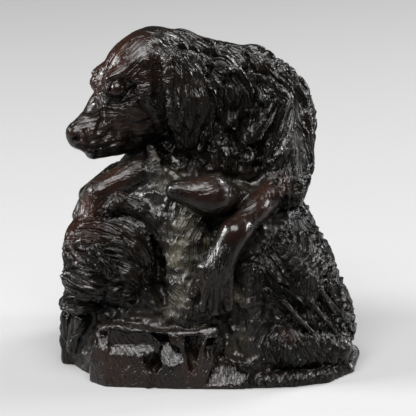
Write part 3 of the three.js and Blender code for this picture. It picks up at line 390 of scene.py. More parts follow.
# Mound: height, then how far it reaches to left, right, front and back
MOUND_MIDDLE = -6
MOUND_TOP = 60
MOUND_SQUARENESS = 2.5
MOUND_REACH = np.array([
    [0, 41, 42.5, 32.5, 30],
    [6, 42.5, 43, 31, 31],
    [14, 42.5, 41.5, 29, 31],
    [24, 42.5, 38, 26, 30],
    [34, 42, 34, 23, 28],
    [41, 39, 30.5, 21, 26],
    [48, 35.5, 28, 19, 23],
    [55, 30, 25, 17.5, 20],
    [62, 18, 18, 9, 12],
], np.float32)


def mound(p):
    heights, sides = MOUND_REACH[:, 0], MOUND_REACH[:, 1:].T
    left, right, front, back = (np.interp(p[:, 2], heights, side) for side in sides)
    across = np.where(p[:, 0] < 0, left, right)
    deep = np.where(p[:, 1] < MOUND_MIDDLE, front, back)
    u = np.abs(p[:, 0] / across) ** MOUND_SQUARENESS
    v = np.abs((p[:, 1] - MOUND_MIDDLE) / deep) ** MOUND_SQUARENESS
    ring = (u + v) ** (1 / MOUND_SQUARENESS) - 1
    return np.maximum(ring * np.minimum(across, deep) * 0.9, p[:, 2] - MOUND_TOP).astype(np.float32)


def centre_rock(p):
    face = limb(p, seen(-6, 40, -21), seen(-5, 12, -29), 8.0, 8.5)
    column = limb(p, seen(12, 22, -30), seen(14, -6, -34), 4.2, 4.0)
    chin = limb(p, seen(-25.5, 51, -7), seen(-20, 55.5, -7), 4.2, 4.8)
    strap_at = [seen(-16.2, 58.6, -15), seen(-14.6, 51.5, -20), seen(-13.4, 45, -22),
                seen(-13, 39, -24)]
    widths = (1.9, 2.5, 3.2, 3.8)
    strap = join(1, *[
        flat_limb(p, a, b, width_a, width_b, (-0.2, -1, 0.3), 0.5)
        for a, b, width_a, width_b in zip(strap_at, strap_at[1:], widths, widths[1:])
    ])
    return join(1.2, join(2, face, column), chin, strap)


# The foot of the rock: a chiselled block and slanting facets, all buried at the back
BLOCK = [(-33.4, -14), (-34.4, -7), (-34.6, -1), (-33, 4), (-31, 8.4), (-25, 8.0), (-18.6, 7.2),
         (-14.7, 6.1), (-7, 6.9), (1.4, 7.4), (3.4, 5), (5, -2), (9, -4), (16, -4), (16, -14)]
PANEL = [(-27.8, 6.2), (-21, 5.6), (-15.6, 5.8), (-15.0, 1.8), (-21, 1.0), (-28.4, 1.9)]
# Facets that catch the light: outline as seen, and a place on the face
LIT_FACETS = [
    # at the block's left corner, then the fringe under the panel, and the curl beside it
    ([(-33.2, 5.8), (-28.8, 6.0), (-28.6, 1.0), (-29.8, -0.6), (-31.4, -0.2), (-32.6, 2.4)],
     (-30.5, 0, -38.2)),
    ([(-28.6, 2.2), (-28.8, -0.6), (-27.4, -2.0), (-26.2, -0.3), (-24.9, -2.4), (-23.6, -0.5),
      (-22.3, -2.8), (-21.0, -0.4), (-19.6, -2.2), (-18.4, -0.2), (-17.2, -1.8), (-15.6, 0.2),
      (-15.2, 1.8)], (-22, -2.4, -39.4)),
    ([(-16.2, 5.6), (-10.9, 5.3), (-10.2, 2.1), (-7.0, 0.6), (-7.1, -3.3), (-10.2, -5.8),
      (-13.2, -3.3), (-14, 0), (-13, 2.4)], (-10, -5.0, -41.0)),
    # two slivers at the right end
    ([(-6.4, 6.6), (-1, 6.4), (2.6, 7.0), (3.2, 5.2), (0.6, 4.4), (-5.8, 4.6)], (-1, 4.4, -40.4)),
    ([(0.2, 3.4), (2.2, 3.8), (1.6, 0.6), (0.6, -2.8), (-0.4, 0.2)], (0.6, -2.6, -40.6)),
    # the large one, with a jagged top edge
    ([(-2, -14), (-1.7, -11), (4.4, 0.2), (5.4, -3.6), (6.7, -2.6), (7.4, -4.6), (8.8, -3.8),
      (9.7, -5.6), (12.4, -6.6), (11, -9), (12, -14)], (4, -10.6, -41.0)),
]
# Facets turned away from it: outline, a place on the face, and which way it faces
DARK_FACETS = [
    ([(-14.2, -0.6), (-19.0, 1.0), (-18.2, -3.4), (-14.8, -6.4), (-12.6, -3.6)],
     (-16, -1, -38.0), (0.3, -1.0, -0.4)),
    ([(-6.4, 4.4), (-0.4, 4.2), (-2.6, -1.6), (-4.8, -6.6), (-5.8, -2)],
     (-3, 0, -37.6), (-0.5, -1.0, -0.3)),
    ([(2.4, 4.2), (4.4, 3.6), (5.4, -2.2), (3.2, -1.0), (1.8, -5.0)],
     (3.4, 0, -37.4), (0.5, -1.0, -0.3)),
    ([(-34.6, -4), (-31.2, -3.4), (-30.4, -9), (-31.6, -14), (-34.6, -14)],
     (-32, -7, -36.0), (-1.0, -1.0, 0.1)),
    ([(-18.2, -5.6), (-15.4, -6.2), (-14.2, -14), (-17.6, -14)],
     (-16.5, -8, -40.0), (0.5, -1.0, 0.0)),
]
TO_LIGHT = (-0.04, -0.77, 0.64)


def blocks(p):
    buried = behind(p, seen(0, 0, -24), (0, 1, 0))
    front = behind(p, v3(0, -40.8, 0), (0, -1, 0))
    block = all_of(
        outline(p, BLOCK),
        behind(p, seen(-22, 4.5, -38.5), (-0.1, -1.0, 0.05)),
        behind(p, seen(-30, -5, -38.3), (-0.5, -1.0, -0.02)),
        behind(p, seen(-8, -7, -41), (0.02, -1.0, -0.08)),
        behind(p, seen(3, 5, -39.5), (0.5, -1.0, 0.35)),
        buried,
        front,
    )
    top = behind(p, seen(-20, 8, -37), (0.05, -0.35, 1.0)) + 0.8 * noise(p, 3.6, 76)
    block = carve(2.6, block, -top)
    sunk = behind(p, seen(-21, 4, -36.4), (0.05, 1, 0.1))
    block = carve(0.15, block, all_of(outline(p, PANEL), sunk))
    facets = DARK_FACETS + [(corners, at, TO_LIGHT) for corners, at in LIT_FACETS]
    for corners, at, facing in facets:
        shape = outline(p, corners)
        face = behind(p, seen(*at), facing)
        cut = carve(0.1, block, np.maximum(shape, -face))
        block = np.minimum(cut, all_of(shape, face, buried, front))
    return block


def facet_clearing(p):
    """Space in front of the large facet, cut from the rock behind it."""
    corners, at = LIT_FACETS[-1]
    out = np.full(len(p), 9.0, np.float32)
    low = (p[:, 2] < 12) & (p[:, 1] < -20)     # the facet is nowhere else
    out[low] = np.maximum(outline(p[low], corners), -behind(p[low], seen(*at), TO_LIGHT))
    return out


def game_head(p):
    d = join(
        2.5,
        blob(p, seen(-25.2, 28, -20), (11.2, 14.5, 12.2)),
        blob(p, seen(-23.5, 23, -24), (8.5, 10.5, 7.5)),
        blob(p, seen(-33.0, 29.5, -22), (9.2, 12.5, 10.5)),
        blob(p, seen(-32.5, 22, -24), (10.2, 11.5, 6.5)),
    )
    lock = limb(p, seen(-33, 28.8, -34.6), seen(-28, 23.4, -35.4), 1.9, 1.5)
    return join(0.8, d, lock)


def head_band(p):
    places = [seen(-33, 40.2, -19.5), seen(-26, 43, -20.5), seen(-19, 41.6, -21.5),
              seen(-14.4, 37.5, -23), seen(-13, 31, -24.5)]
    return rope(p, places, 2.7, 2.0)


def left_leaves(p):
    oval = blob(p, seen(-37, 13.8, -22), (7, 9, 2.3), axes_along((1, 0.1, 0.06)))
    fold = limb(p, seen(-37.6, 6, -30), seen(-37.2, -7, -31), 1.0, 1.6)
    hanging = join(
        1,
        limb(p, seen(-40, 9, -18), seen(-41.5, 2, -16), 3.6, 2.6),
        limb(p, seen(-37, 9, -24), seen(-40, 0, -22), 3.2, 1.8),
        limb(p, seen(-41, 0, -16), seen(-41, -4, -16), 2.4, 2.6),
    )
    return join(0.7, oval, carve(0.8, hanging, fold))


def bag(p):
    main = blob(p, seen(23.5, 24, -18), (13.0, 15.5, 13.0))
    side = limb(p, seen(25, 38, -12), seen(36, 12, -16), 6, 7)
    base = limb(p, seen(27, 10, -27), seen(38, 6, -17), 6, 6)
    hollows = np.minimum.reduce([
        ball(p, seen(33.8, 21.7, -23), 2.9),
        limb(p, seen(35.2, 28, -22), seen(36.4, 23.5, -22), 0.6, 1.0),
        limb(p, seen(37.6, 22, -21.5), seen(42.2, 14, -20), 0.8, 1.6),
        blob(p, seen(28.6, 10.5, -33.5), (2.4, 3.4, 4.4), axes_along((0.6, 0, -0.8))),
        blob(p, seen(35.0, 12.5, -29.5), (2.2, 3.4, 4.0), axes_along((0.6, 0, -0.8))),
        blob(p, seen(19.0, 12.0, -35.0), (1.6, 3.0, 3.4)),
    ])
    return carve(0.8, join(3, join(5, main, side), base), hollows)


def net_cords(p):
    fans = (
        (seen(22.5, 14.4, -33.5), (seen(28.5, 7.5, -34.5), seen(31, 5.2, -33))),
        (seen(30.3, 14.5, -30), (seen(35, 8.5, -30), seen(38.5, 4.5, -27))),
        (seen(33.4, 17.5, -27), (seen(37.5, 11, -26), seen(41.2, 8.5, -22))),
    )
    cords = [ball(p, knot, 1.1) for knot, _ in fans]
    cords += [limb(p, knot, end, 0.75, 0.6) for knot, ends in fans for end in ends]
    tassel_knot, tassel_ends = seen(9.2, 21.2, -32.5), (25.2, 23.6, 22.0, 20.4)
    tassel = [limb(p, tassel_knot, seen(13.4, end, -33.5), 0.8, 0.8) for end in tassel_ends]
    return join(0.3, *cords, *tassel)


def roll(p):
    return limb(p, seen(23, 1, -32), seen(37, 0, -24), 6.6, 6.2)


def hem(p):
    places = [seen(16, -9.3, -37.5), seen(25, -8.4, -36.5), seen(34, -8, -33),
              seen(41, -6, -24), seen(43, -2, -12)]
    return rope(p, places, 2.6)


# Every part with its carving: coarse, middle and fine hair in parts, gouge marks, and curls
CARVING = {
    head: (0.10, 0.14, 0.08, 0.05, 0.0),
    ears: (0.3, 0.42, 0.24, 0.0, 0.0),
    neck: (1.5, 1.05, 0.36, 0.0, 0.0),
    body: (1.7, 1.15, 0.38, 0.0, 0.0),
    hindquarters: (0.9, 0.5, 0.2, 0.0, 0.0),
    tail: (0.6, 0.5, 0.2, 0.0, 0.0),
    legs: (0.05, 0.05, 0.06, 0.06, 0.0),
    mound: (0.0, 0.0, 0.0, 1.5, 0.0),
    centre_rock: (0.0, 0.15, 0.12, 1.4, 0.0),
    blocks: (0.0, 0.05, 0.08, 0.18, 0.04),
    game_head: (1.1, 0.95, 0.30, 0.0, 0.0),
    head_band: (0.1, 0.45, 0.24, 0.0, 0.0),
    left_leaves: (0.15, 0.4, 0.2, 0.0, 0.0),
    bag: (0.5, 0.15, 0.24, 0.0, 1.2),
    net_cords: (0.0, 0.0, 0.1, 0.0, 0.0),
    roll: (0.2, 0.9, 0.32, 0.0, 0.2),
    hem: (0.1, 0.7, 0.26, 0.0, 0.0),
}
BOX_LOW, BOX_HIGH = v3(-52, -48, -2), v3(52, 42, 110)
SAFE = 3.5              # a part is worked out this far around its box
HALF_DIAGONAL = 0.87    # of a cell of side 1


def grid(low, high, cell):
    counts = np.ceil((high - low) / cell).astype(int) + 1
    index = np.stack(np.meshgrid(*[np.arange(n) for n in counts], indexing="ij"), -1).reshape(-1, 3)
    return (low + index * cell).astype(np.float32)


def reaches():
    """Box around each part, so that it is only worked out near itself."""
    cell = 5.0
    p = grid(BOX_LOW, BOX_HIGH, cell)
    out = {}
    for part in CARVING:
        near = p[part(p) < cell * HALF_DIAGONAL * 1.2]
        out[part] = (near.min(0) - cell * 0.5, near.max(0) + cell * 0.5)
    return out


REACH = reaches()


def nearby(part, p):
    low, high = REACH[part]
    d = length(np.maximum(np.maximum(low - p, p - high), 0))
    close = d < SAFE
    out = d + SAFE
    out[close] = part(p[close])
    return out.astype(np.float32)


def all_parts(p):
    return {part: nearby(part, p) for part in CARVING}


def form(p):
    """The whole figure before its surface is carved, standing on the floor."""
    s = all_parts(p)
    dog = join(2.5, join(3, s[head], s[neck]), s[body])
    crease_at = [seen(11, 85, -11), seen(14.5, 76, -13), seen(12.5, 68, -13), seen(8, 60, -14)]
    dog = carve(3.5, dog, rope(p, crease_at, 1.0))
    under_ear_at = [seen(-14, 82, -15.5), seen(-13.6, 74, -17), seen(-12.8, 66, -17.5),
                    seen(-8.5, 60, -17), seen(-1, 60, -16), seen(4.2, 66, -15), seen(5.2, 76, -14)]
    dog = carve(1.6, dog, rope(p, under_ear_at, 1.7))
    dog = join(0.2, dog, s[ears])
    dog = join(1.5, dog, s[legs], s[hindquarters], s[tail])
    rock = carve(0.3, join(3, s[mound], s[centre_rock]), facet_clearing(p))
    ground = join(0.5, rock, s[blocks])
    ground = join(0.8, ground, s[game_head], s[head_band], s[left_leaves])
    cleft = join(
        0.8,
        blob(p, seen(-15.0, 29.5, -26.5), (1.3, 6.0, 4.6), axes_along((1, 0, 0.3))),
        blob(p, seen(-14.0, 23.0, -27.5), (2.3, 7.5, 5.0), axes_along((1, 0, -0.15))),
        blob(p, seen(-13.6, 16.5, -29.5), (1.8, 6.5, 4.0), axes_along((1, 0, 0.35))),
    )
    ground = carve(0.6, ground, cleft + 0.5 * noise(p, 2.2, 73))
    under_mane_at = [seen(-5, 53, -17), seen(4, 52.5, -17.5), seen(12, 52, -17.5), seen(18, 50.5, -18)]
    ground = carve(1.5, ground, rope(p, under_mane_at, 3.3) + 0.8 * noise(p, 3.0, 77))
    ground = join(2, ground, s[bag])
    ground = join(0.8, ground, join(0.8, s[roll], s[hem]), s[net_cords])
    return np.maximum(join(0.8, dog, ground), -p[:, 2])


def form_slope(p):
    h = 0.12
    steps = np.eye(3, dtype=np.float32) * h
    g = np.stack([form(p + s) - form(p - s) for s in steps], 1)
    return g / np.maximum(length(g), 1e-6)[:, None]


# Surface of the form: cells near it are halved down to the finest, then each gets one point
EDGES = [(0, 4), (1, 5), (2, 6), (3, 7), (0, 2), (1, 3), (4, 6), (5, 7),
         (0, 1), (2, 3), (4, 5), (6, 7)]
SPAN = 4096                          # more cells than the box has along any side
CELL_REACH, CELL_SPARE = 1.75, 0.3   # wide, as the flat forms give up to twice their real distance


def key(index):
    return (index[..., 0] * SPAN + index[..., 1]) * SPAN + index[..., 2]


def cells_near(finest):
    halvings = 4
    size = finest * 2 ** halvings
    counts = np.ceil((BOX_HIGH - BOX_LOW) / size).astype(int)
    index = np.stack(np.meshgrid(*[np.arange(n) for n in counts], indexing="ij"), -1).reshape(-1, 3)
    for step in range(halvings + 1):
        centres = (BOX_LOW + (index + 0.5) * size).astype(np.float32)
        index = index[np.abs(form(centres)) < size * CELL_REACH + CELL_SPARE]
        if step < halvings:
            size /= 2
            index = (index[:, None, :] * 2 + CORNERS[None]).reshape(-1, 3)
    return index, size


def largest_piece(points, quads):
    """The one connected piece with the most faces, so that no crumb floats beside it."""
    label = np.arange(len(points))
    before = None
    while not np.array_equal(before, label):
        before = label.copy()
        least = label[quads].min(1)
        for corner in range(4):
            np.minimum.at(label, quads[:, corner], least)
        label = label[label]
    of_face = label[quads[:, 0]]
    quads = quads[of_face == np.argmax(np.bincount(of_face))]
    used, renumbered = np.unique(quads, return_inverse=True)
    return points[used], renumbered.reshape(-1, 4)


def surface(finest):
    index, size = cells_near(finest)
    keys = key(index[:, None, :] + CORNERS[None])
    known, inverse = np.unique(keys, return_inverse=True)
    inverse = inverse.reshape(keys.shape)
    places = np.stack([known // (SPAN * SPAN), (known // SPAN) % SPAN, known % SPAN], -1)
    value = form((BOX_LOW + places * size).astype(np.float32))
    value[value == 0] = 1e-6
    v = value[inverse]
    inside = v < 0
    mixed = inside.any(1) & ~inside.all(1)
    index, v, inside = index[mixed], v[mixed], inside[mixed]
    total = np.zeros((len(index), 3))
    hits = np.zeros(len(index))
    for a, b in EDGES:
        crossed = inside[:, a] != inside[:, b]
        t = np.where(crossed, v[:, a] / np.where(crossed, v[:, a] - v[:, b], 1), 0)
        total += np.where(crossed[:, None], CORNERS[a] + t[:, None] * (CORNERS[b] - CORNERS[a]), 0)
        hits += crossed
    points = BOX_LOW + (index + total / hits[:, None]) * size
    cell_keys = key(index)
    order = np.argsort(cell_keys)
    sorted_keys = cell_keys[order]

    def find(cells):
        wanted = key(cells)
        at = np.clip(np.searchsorted(sorted_keys, wanted), 0, len(sorted_keys) - 1)
        return order[at], sorted_keys[at] == wanted

    quads = []
    for axis, (a, b) in enumerate([(0, 4), (0, 2), (0, 1)]):
        crossed = inside[:, a] != inside[:, b]
        base = index[crossed]
        outward = inside[crossed][:, a]
        du, dw = np.zeros(3, int), np.zeros(3, int)
        du[(axis + 1) % 3], dw[(axis + 2) % 3] = 1, 1
        four = [find(base), find(base - du), find(base - du - dw), find(base - dw)]
        whole = np.logical_and.reduce([f[1] for f in four])
        q = np.stack([f[0] for f in four], 1)
        quads.append(np.where(outward[:, None], q, q[:, ::-1])[whole])
    return largest_piece(points.astype(np.float32), np.concatenate(quads))


# Single cuts of the gouge, as they are seen: how deep, how wide, then places across and up
CUTS = (
    # beside the nose, under the eye, the mouth and lips
    (0.9, 0.55, [(-32.6, 75.4), (-31.0, 71.6), (-30.7, 67.6), (-32.0, 64.0)]),
    (0.8, 0.5, [(-30.4, 75.2), (-28.6, 73.6), (-26.2, 73.2), (-23.8, 74.8), (-20.9, 77.6)]),
    (0.7, 0.6, [(-28.2, 72.2), (-24.6, 72.0), (-20.4, 74.4)]),
    (0.9, 0.5, [(-37.6, 60.0), (-34.3, 59.0), (-29.4, 59.9), (-25.1, 61.2), (-19.6, 61.9)]),
    (0.8, 0.6, [(-35.4, 64.4), (-34.0, 61.4), (-30.2, 61.9), (-27.8, 64.4), (-26.2, 62.4)]),
    (0.6, 0.7, [(-24.0, 67.2), (-20.6, 65.4), (-17.4, 66.8)]),
    (0.7, 0.8, [(-19.4, 72.4), (-16.4, 69.4), (-14.4, 64.6)]),
    # grooves down the ear
    (1.0, 0.8, [(-9.4, 85.5), (-8.8, 79.4), (-9.6, 72.1), (-8.6, 66.0)]),
    (0.9, 0.7, [(-6.4, 83.0), (-5.6, 73.3), (-6.4, 66.0), (-5.6, 61.0)]),
    (0.9, 0.8, [(-3.2, 80.4), (-3.8, 72.1), (-2.6, 65.0)]),
)


def cuts(p, n):
    """Depth of the single cuts on the side that faces the viewer."""
    x, y = p[:, 0], up_of(p)
    out = np.zeros(len(p), np.float32)
    for depth, width, places in CUTS:
        for (ax, ay), (bx, by) in zip(places, places[1:]):
            ex, ey = bx - ax, by - ay
            along = np.clip(((x - ax) * ex + (y - ay) * ey) / (ex ** 2 + ey ** 2), 0, 1)
            gap = np.hypot(x - ax - along * ex, y - ay - along * ey)
            out = np.maximum(out, depth * np.clip(1.5 - gap / width, 0, 1))
    return out * np.clip(-2 * n[:, 1] - 0.2, 0, 1)


# Which way the hair runs: across, up and depth on the figure, then the run across and up as seen
HAIR_RUNS = (
    # forehead, crown and nape
    (-31, 83, -14, 0.6, 0.8), (-27, 88, -12, 0.7, 0.7), (-22, 92, -8, 0.9, 0.4),
    (-13, 95, -4, 1, -0.1), (-3, 92, -4, 0.9, -0.45), (-21, 85, -18, 0.9, 0.45),
    (-14, 89, -16, 1, 0), (-6, 89, -16, 0.8, -0.5), (5, 87, -8, 0.75, -0.65),
    (10, 82, -12, 0.6, -0.8), (2, 80, -14, 0.5, -0.85), (8, 73, -14, 0.35, -0.95),
    (3, 66, -14, 0.3, -0.95),
    # face
    (-36, 67, -20, 0.85, 0.2), (-31, 72, -20, 0.7, 0.3), (-26, 66, -20, 0.9, -0.3),
    (-18, 70, -18, 0.9, -0.35), (-18, 76, -18, 0.9, 0.1), (-28, 59, -18, 1, 0),
    (-18, 62, -16, 1, 0.2),
    # ear
    (-9, 83, -18, 0.2, -1), (-9, 74, -20, 0, -1), (-3, 78, -20, 0.1, -1), (-3, 68, -20, -0.05, -1),
    (1, 72, -19, 0, -1), (-6, 61, -19, 0.1, -1), (0, 63, -19, -0.3, -1),
    # mane
    (6, 58, -18, 0.35, -0.9), (12, 54, -18, 0.3, -0.9), (-4, 54, -18, 0.2, -1),
    (14, 64, -16, -0.3, -0.95),
    # shoulder and back
    (14, 90, -2, 0.7, -0.5), (18, 86, -8, 0.45, -0.9), (24, 84, -6, 0.6, -0.8),
    (29, 76, -4, 0.35, -0.95), (31.5, 66, -4, 0.05, -1), (30, 56, -6, -0.15, -1),
    (23, 74, -14, 0.1, -1), (19, 68, -16, -0.45, -0.9), (16, 59, -18, -0.55, -0.85),
    (24, 60, -16, -0.1, -1), (22, 52, -20, -0.3, -0.95), (27, 48, -16, 0, -1),
    (27, 42, -14, 0.1, -1), (12, 78, -14, 0.1, -1),
    # legs
    (20, 46, -28, -0.9, -0.5), (12, 38, -34, -0.7, -0.7), (5, 30, -38, -0.5, -0.9),
    (1, 20, -40, -0.3, -1), (-3, 45, -32, -1, 0.1), (-26, 50, -20, -0.9, -0.45),
    (-34, 44, -22, -0.6, -0.8),
    # game head, its band and the leaves
    (-28, 42, -24, 1, 0.15), (-20, 41, -26, 0.8, -0.6), (-14.5, 34, -28, 0.25, -1),
    (-38, 33, -30, 0.5, 0.6), (-32, 37, -30, 1, 0.2), (-24, 35, -34, 0.9, -0.3),
    (-19, 30, -34, 0.7, -0.7), (-24, 27, -36, 0.75, -0.65), (-18, 22, -34, 0.6, -0.8),
    (-28, 20, -36, 1, -0.1), (-36, 21, -34, 0.9, -0.3), (-41, 26, -26, 0.1, -1),
    (-39, 21, -30, 0.5, -0.8), (-37, 14, -30, 1, 0.1), (-40, 6, -24, -0.1, -1),
    (-40, -2, -22, 0, -1), (-37, 8, -28, -0.5, -0.8),
    # bag
    (20, 32, -32, 0.6, -0.8), (28, 34, -28, 0.5, -0.85), (34, 30, -22, 0.5, -0.85),
    (16, 26, -34, -0.2, -1), (24, 24, -34, 0.3, -0.95), (30, 18, -32, 0.5, -0.85),
    (20, 16, -34, 0.4, -0.9), (38, 14, -24, 0.6, -0.8), (41, 6, -22, 0.4, -0.9),
    (25, 10, -34, 0.7, -0.7),
    # roll and hem
    (20, 5, -38, -0.9, 0.1), (18, 1, -38, -0.5, -0.9), (24, 2, -39, 0, -1), (29, 4, -37, 0.8, -0.6),
    (29, 0, -38, 0.4, -0.9), (35, 1, -34, 0.5, -0.85), (22, 7, -36, -0.4, 0.8),
    (39, 1, -28, 0.5, -0.8), (17, 6, -36, -0.1, -1), (17, -4, -38, 0, -1), (20, -9, -39, 0, -1),
    (28, -9, -38, 0.05, -1), (36, -8, -34, 0.25, -0.95), (42, -4, -26, 0.5, -0.85),
)
BACK_PLACES = [(x, 20, z) for x in (-30, -10, 10, 30) for z in (20, 50, 80)]
RUN_AT = np.array([seen(*row[:3]) for row in HAIR_RUNS] + BACK_PLACES, np.float32)
RUN_TO = np.array(
    [unit((row[3], math.sin(TILT) * row[4], math.cos(TILT) * row[4])) for row in HAIR_RUNS]
    + [unit((0.1 * np.sign(x), 0.5, -0.8)) for x, _, _ in BACK_PLACES],
    np.float32,
)


ROWS_AT_ONCE = 20000


def hair_run(p):
    """Run of the hair near each point, before it is laid along the surface."""
    out = np.zeros_like(p)
    for start in range(0, len(p), ROWS_AT_ONCE):
        rows = slice(start, start + ROWS_AT_ONCE)
        q = p[rows]
        gap2 = (q ** 2).sum(1)[:, None] + (RUN_AT ** 2).sum(1)[None] - 2 * q @ RUN_AT.T
        out[rows] = (1 / (np.maximum(gap2, 0) + 4) ** 2) @ RUN_TO
    return out / np.maximum(length(out), 1e-9)[:, None]


# Strands: spacing in parts, seed, sway in radians, and length over spacing
COARSE_STRANDS = (7.6, 11, 0.6, 2.8)
MIDDLE_STRANDS = (2.6, 23, 0.5, 3.6)
CURLS = (2.3, 57, 2.2, 2.8)
SWAY_CELL = 9.0


def strands(p, n, spacing, seed, sway, long):
    """Side-by-side strands, as a wave's real and imaginary part.

    The wave's angle is 0 on a strand and pi in the groove beside it. Waves start at scattered
    places, each along the run of the hair there, and blend where they meet.
    """
    cell = spacing * long
    q = p / cell
    i = np.floor(q).astype(np.int32)
    low = i.min(0) - 1
    counts = i.max(0) + 2 - low
    cells = np.stack(np.meshgrid(*[np.arange(c) for c in counts], indexing="ij"), -1)
    cells = cells.reshape(-1, 3).astype(np.int32) + low
    values = [scatter(cells[:, 0], cells[:, 1], cells[:, 2], seed + k) for k in range(4)]
    starts = (cells + np.stack(values[:3], 1)).astype(np.float32)
    runs = hair_run(starts * cell)
    turns = sway * noise(starts * cell, SWAY_CELL, seed + 5)
    phases = 2 * np.pi * values[3]
    real, imaginary = np.zeros(len(p), np.float32), np.zeros(len(p), np.float32)
    for a in (-1, 0, 1):
        for b in (-1, 0, 1):
            for c in (-1, 0, 1):
                at = i - low + np.array([a, b, c], np.int32)
                at = (at[:, 0] * counts[1] + at[:, 1]) * counts[2] + at[:, 2]
                gap = q - starts[at]
                weight = np.maximum(1 - np.einsum("ij,ij->i", gap, gap), 0) ** 2
                near = np.flatnonzero(weight)
                gap, at, facing = gap[near], at[near], n[near]
                aside = np.cross(facing, runs[at])
                aside /= np.maximum(length(aside), 1e-6)[:, None]
                turn = turns[at][:, None]
                aside = aside * np.cos(turn) + np.cross(facing, aside) * np.sin(turn)
                angle = 2 * np.pi * long * np.einsum("ij,ij->i", gap, aside) + phases[at]
                real[near] += weight[near] * np.cos(angle)
                imaginary[near] += weight[near] * np.sin(angle)
    size = np.maximum(np.hypot(real, imaginary), 1e-9)
    return real / size, imaginary / size


def rounded(wave):
    """Round strands with sharp grooves between them, -1 in the groove to 1 on the strand."""
    return 2 * np.sqrt((1 + wave[0]) / 2) - 1


def crested(wave):
    """Sharp crests with round grooves between them."""
    return 1 - 2 * np.sqrt((1 - wave[0]) / 2)


GOUGE_RIM = 1.2     # scoops meet in ridges that are cut off at this squared distance


def relief(p, n):
    """Height of the carving at each point, each part's share in it, and the strand wave."""
    s = all_parts(p)
    gaps = np.stack([s[part] for part in CARVING], 1)
    share = np.clip(1 - (gaps - gaps.min(1, keepdims=True)) / 1.2, 0, 1) ** 2
    share /= share.sum(1, keepdims=True)
    amount = share @ np.array(list(CARVING.values()), np.float32)
    patchy = 0.7 + 0.45 * noise(p, 5.0, 79)
    coarse = rounded(strands(p, n, *COARSE_STRANDS)) - 0.35
    wave = strands(p, n, *MIDDLE_STRANDS)
    middle = (rounded(wave) - 0.3) * patchy
    curl = strands(p, n, *CURLS)
    curls = crested(curl) * patchy
    hair = amount[:, 0] * coarse + amount[:, 1] * middle + amount[:, 4] * curls
    large = 1.6 * np.minimum(gouges(p, 6.0, 41), GOUGE_RIM) - 0.6
    rock = large + 0.9 * np.minimum(gouges(p, 2.3, 51), GOUGE_RIM) - 0.35
    hair *= np.clip(0.85 - 0.25 * n[:, 1], 0.7, 1)      # shallower at the back
    on_head = np.minimum(s[head], s[ears]) < 2
    height = (hair + amount[:, 3] * rock - cuts(p, n) * on_head) * (1 - on_eye(p))
    curly = np.clip(amount[:, 4] * 1.6, 0, 1)
    wave = [a + (b - a) * curly for a, b in zip(wave, curl)]
    strand = (wave[0], wave[1], (amount[:, 2] + 0.4 * amount[:, 4]) * (1 - on_eye(p)))
    return height, share, strand


def carved_mesh():
    points, quads = surface(FINEST)
    n = form_slope(points)
    height, share, strand = relief(points, n)
    foot = np.clip(points[:, 2] / 1.5, 0, 1)            # no carving at the very bottom
    out = points + n * (height * foot)[:, None]
    out[:, 2] = np.where(points[:, 2] < 0.05, 0, np.maximum(out[:, 2], 0))
    return out, quads, height, share, strand


points, quads, crest, share, strand = carved_mesh()

# Place the carving on the solid: middle over middle, and both flat on the same floor
low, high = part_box(NODE)
span_low, span_high = points.min(0), points.max(0)
middle = v3((low[0] + high[0]) / 2, (low[1] + high[1]) / 2, 0)
shift = middle - v3(*((span_low + span_high)[:2] / 2 * PART), 0)
mesh = bpy.data.meshes.new("dog_carving")
mesh.from_pydata((points * PART + shift).tolist(), [], quads.tolist())
mesh.update()
names = [part.__name__ for part in CARVING]


def keep_attribute(name, values):
    attribute = mesh.attributes.new(name, "FLOAT", "POINT")
    attribute.data.foreach_set("value", np.asarray(values, np.float32))


def region(*wanted):
    return sum(share[:, names.index(name)] for name in wanted)


def around(centre, radius):
    return np.clip(1.3 - length(points - centre) / radius, 0, 1)


def soft(low_value, high_value, values):
    t = np.clip((values - low_value) / (high_value - low_value), 0, 1)
    return t * t * (3 - 2 * t)


# Khaki dust in the middle of the rock, in patches
uneven = soft(-0.35, 0.35, noise(points, 4.5, 91) + 0.5 * noise(points, 1.8, 92))
khaki = np.clip(region("centre_rock") * 0.9 + region("mound") * 0.35, 0, 1)
khaki = khaki * soft(-16, -8, -np.abs(points[:, 0] + 2))
khaki = khaki * (0.4 + 0.6 * uneven)

# Brown wear on what stands out: across, up, depth, radius and strength
WEAR = (
    # forehead, brow and muzzle
    (-27, 87, -14, 11, 1), (-33, 79, -16, 7, 1), (-22, 80, -20, 9, 1), (-38, 64, -20, 7, 0.6),
    (-24, 64, -22, 8, 0.7),
    # game head, then the legs and paws
    (-36, 34, -30, 7, 0.7), (8, 38, -36, 6, 1), (20, 45, -28, 8, 1), (-28, 50, -20, 5, 1),
    (-1, 46, -34, 7, 0.6), (-35, 42, -22, 5, 1),
    # roll and foot
    (24.5, 6, -38, 4, 1.2), (-8, -8, -41, 14, 0.6), (-28, -6, -40, 10, 0.6),
)
wear_spots = [around(seen(*spot[:3]), spot[3]) * spot[4] for spot in WEAR]
keep_attribute("crest", crest)
for name, values in zip(("strand_along", "strand_beside", "strand_height"), strand):
    keep_attribute(name, values)
keep_attribute("dust", khaki)
keep_attribute("wear", np.clip(np.max(wear_spots, axis=0), 0, 1))
keep_attribute("rocky", np.clip(region("mound", "centre_rock"), 0, 1))

dog = bpy.data.objects.new("dog_carving", mesh)
bpy.context.scene.collection.objects.link(dog)


def drop_folds(thinned):
    """Takes out faces that lie back to back on the same corners."""
    shape = bmesh.new()
    shape.from_mesh(thinned)
    same = {}
    for face in shape.faces:
        same.setdefault(frozenset(v.index for v in face.verts), []).append(face)
    folded = [face for faces in same.values() if len(faces) > 1 for face in faces]
    bmesh.ops.delete(shape, geom=folded, context="FACES")
    shape.to_mesh(thinned)
    shape.free()
    thinned.validate()


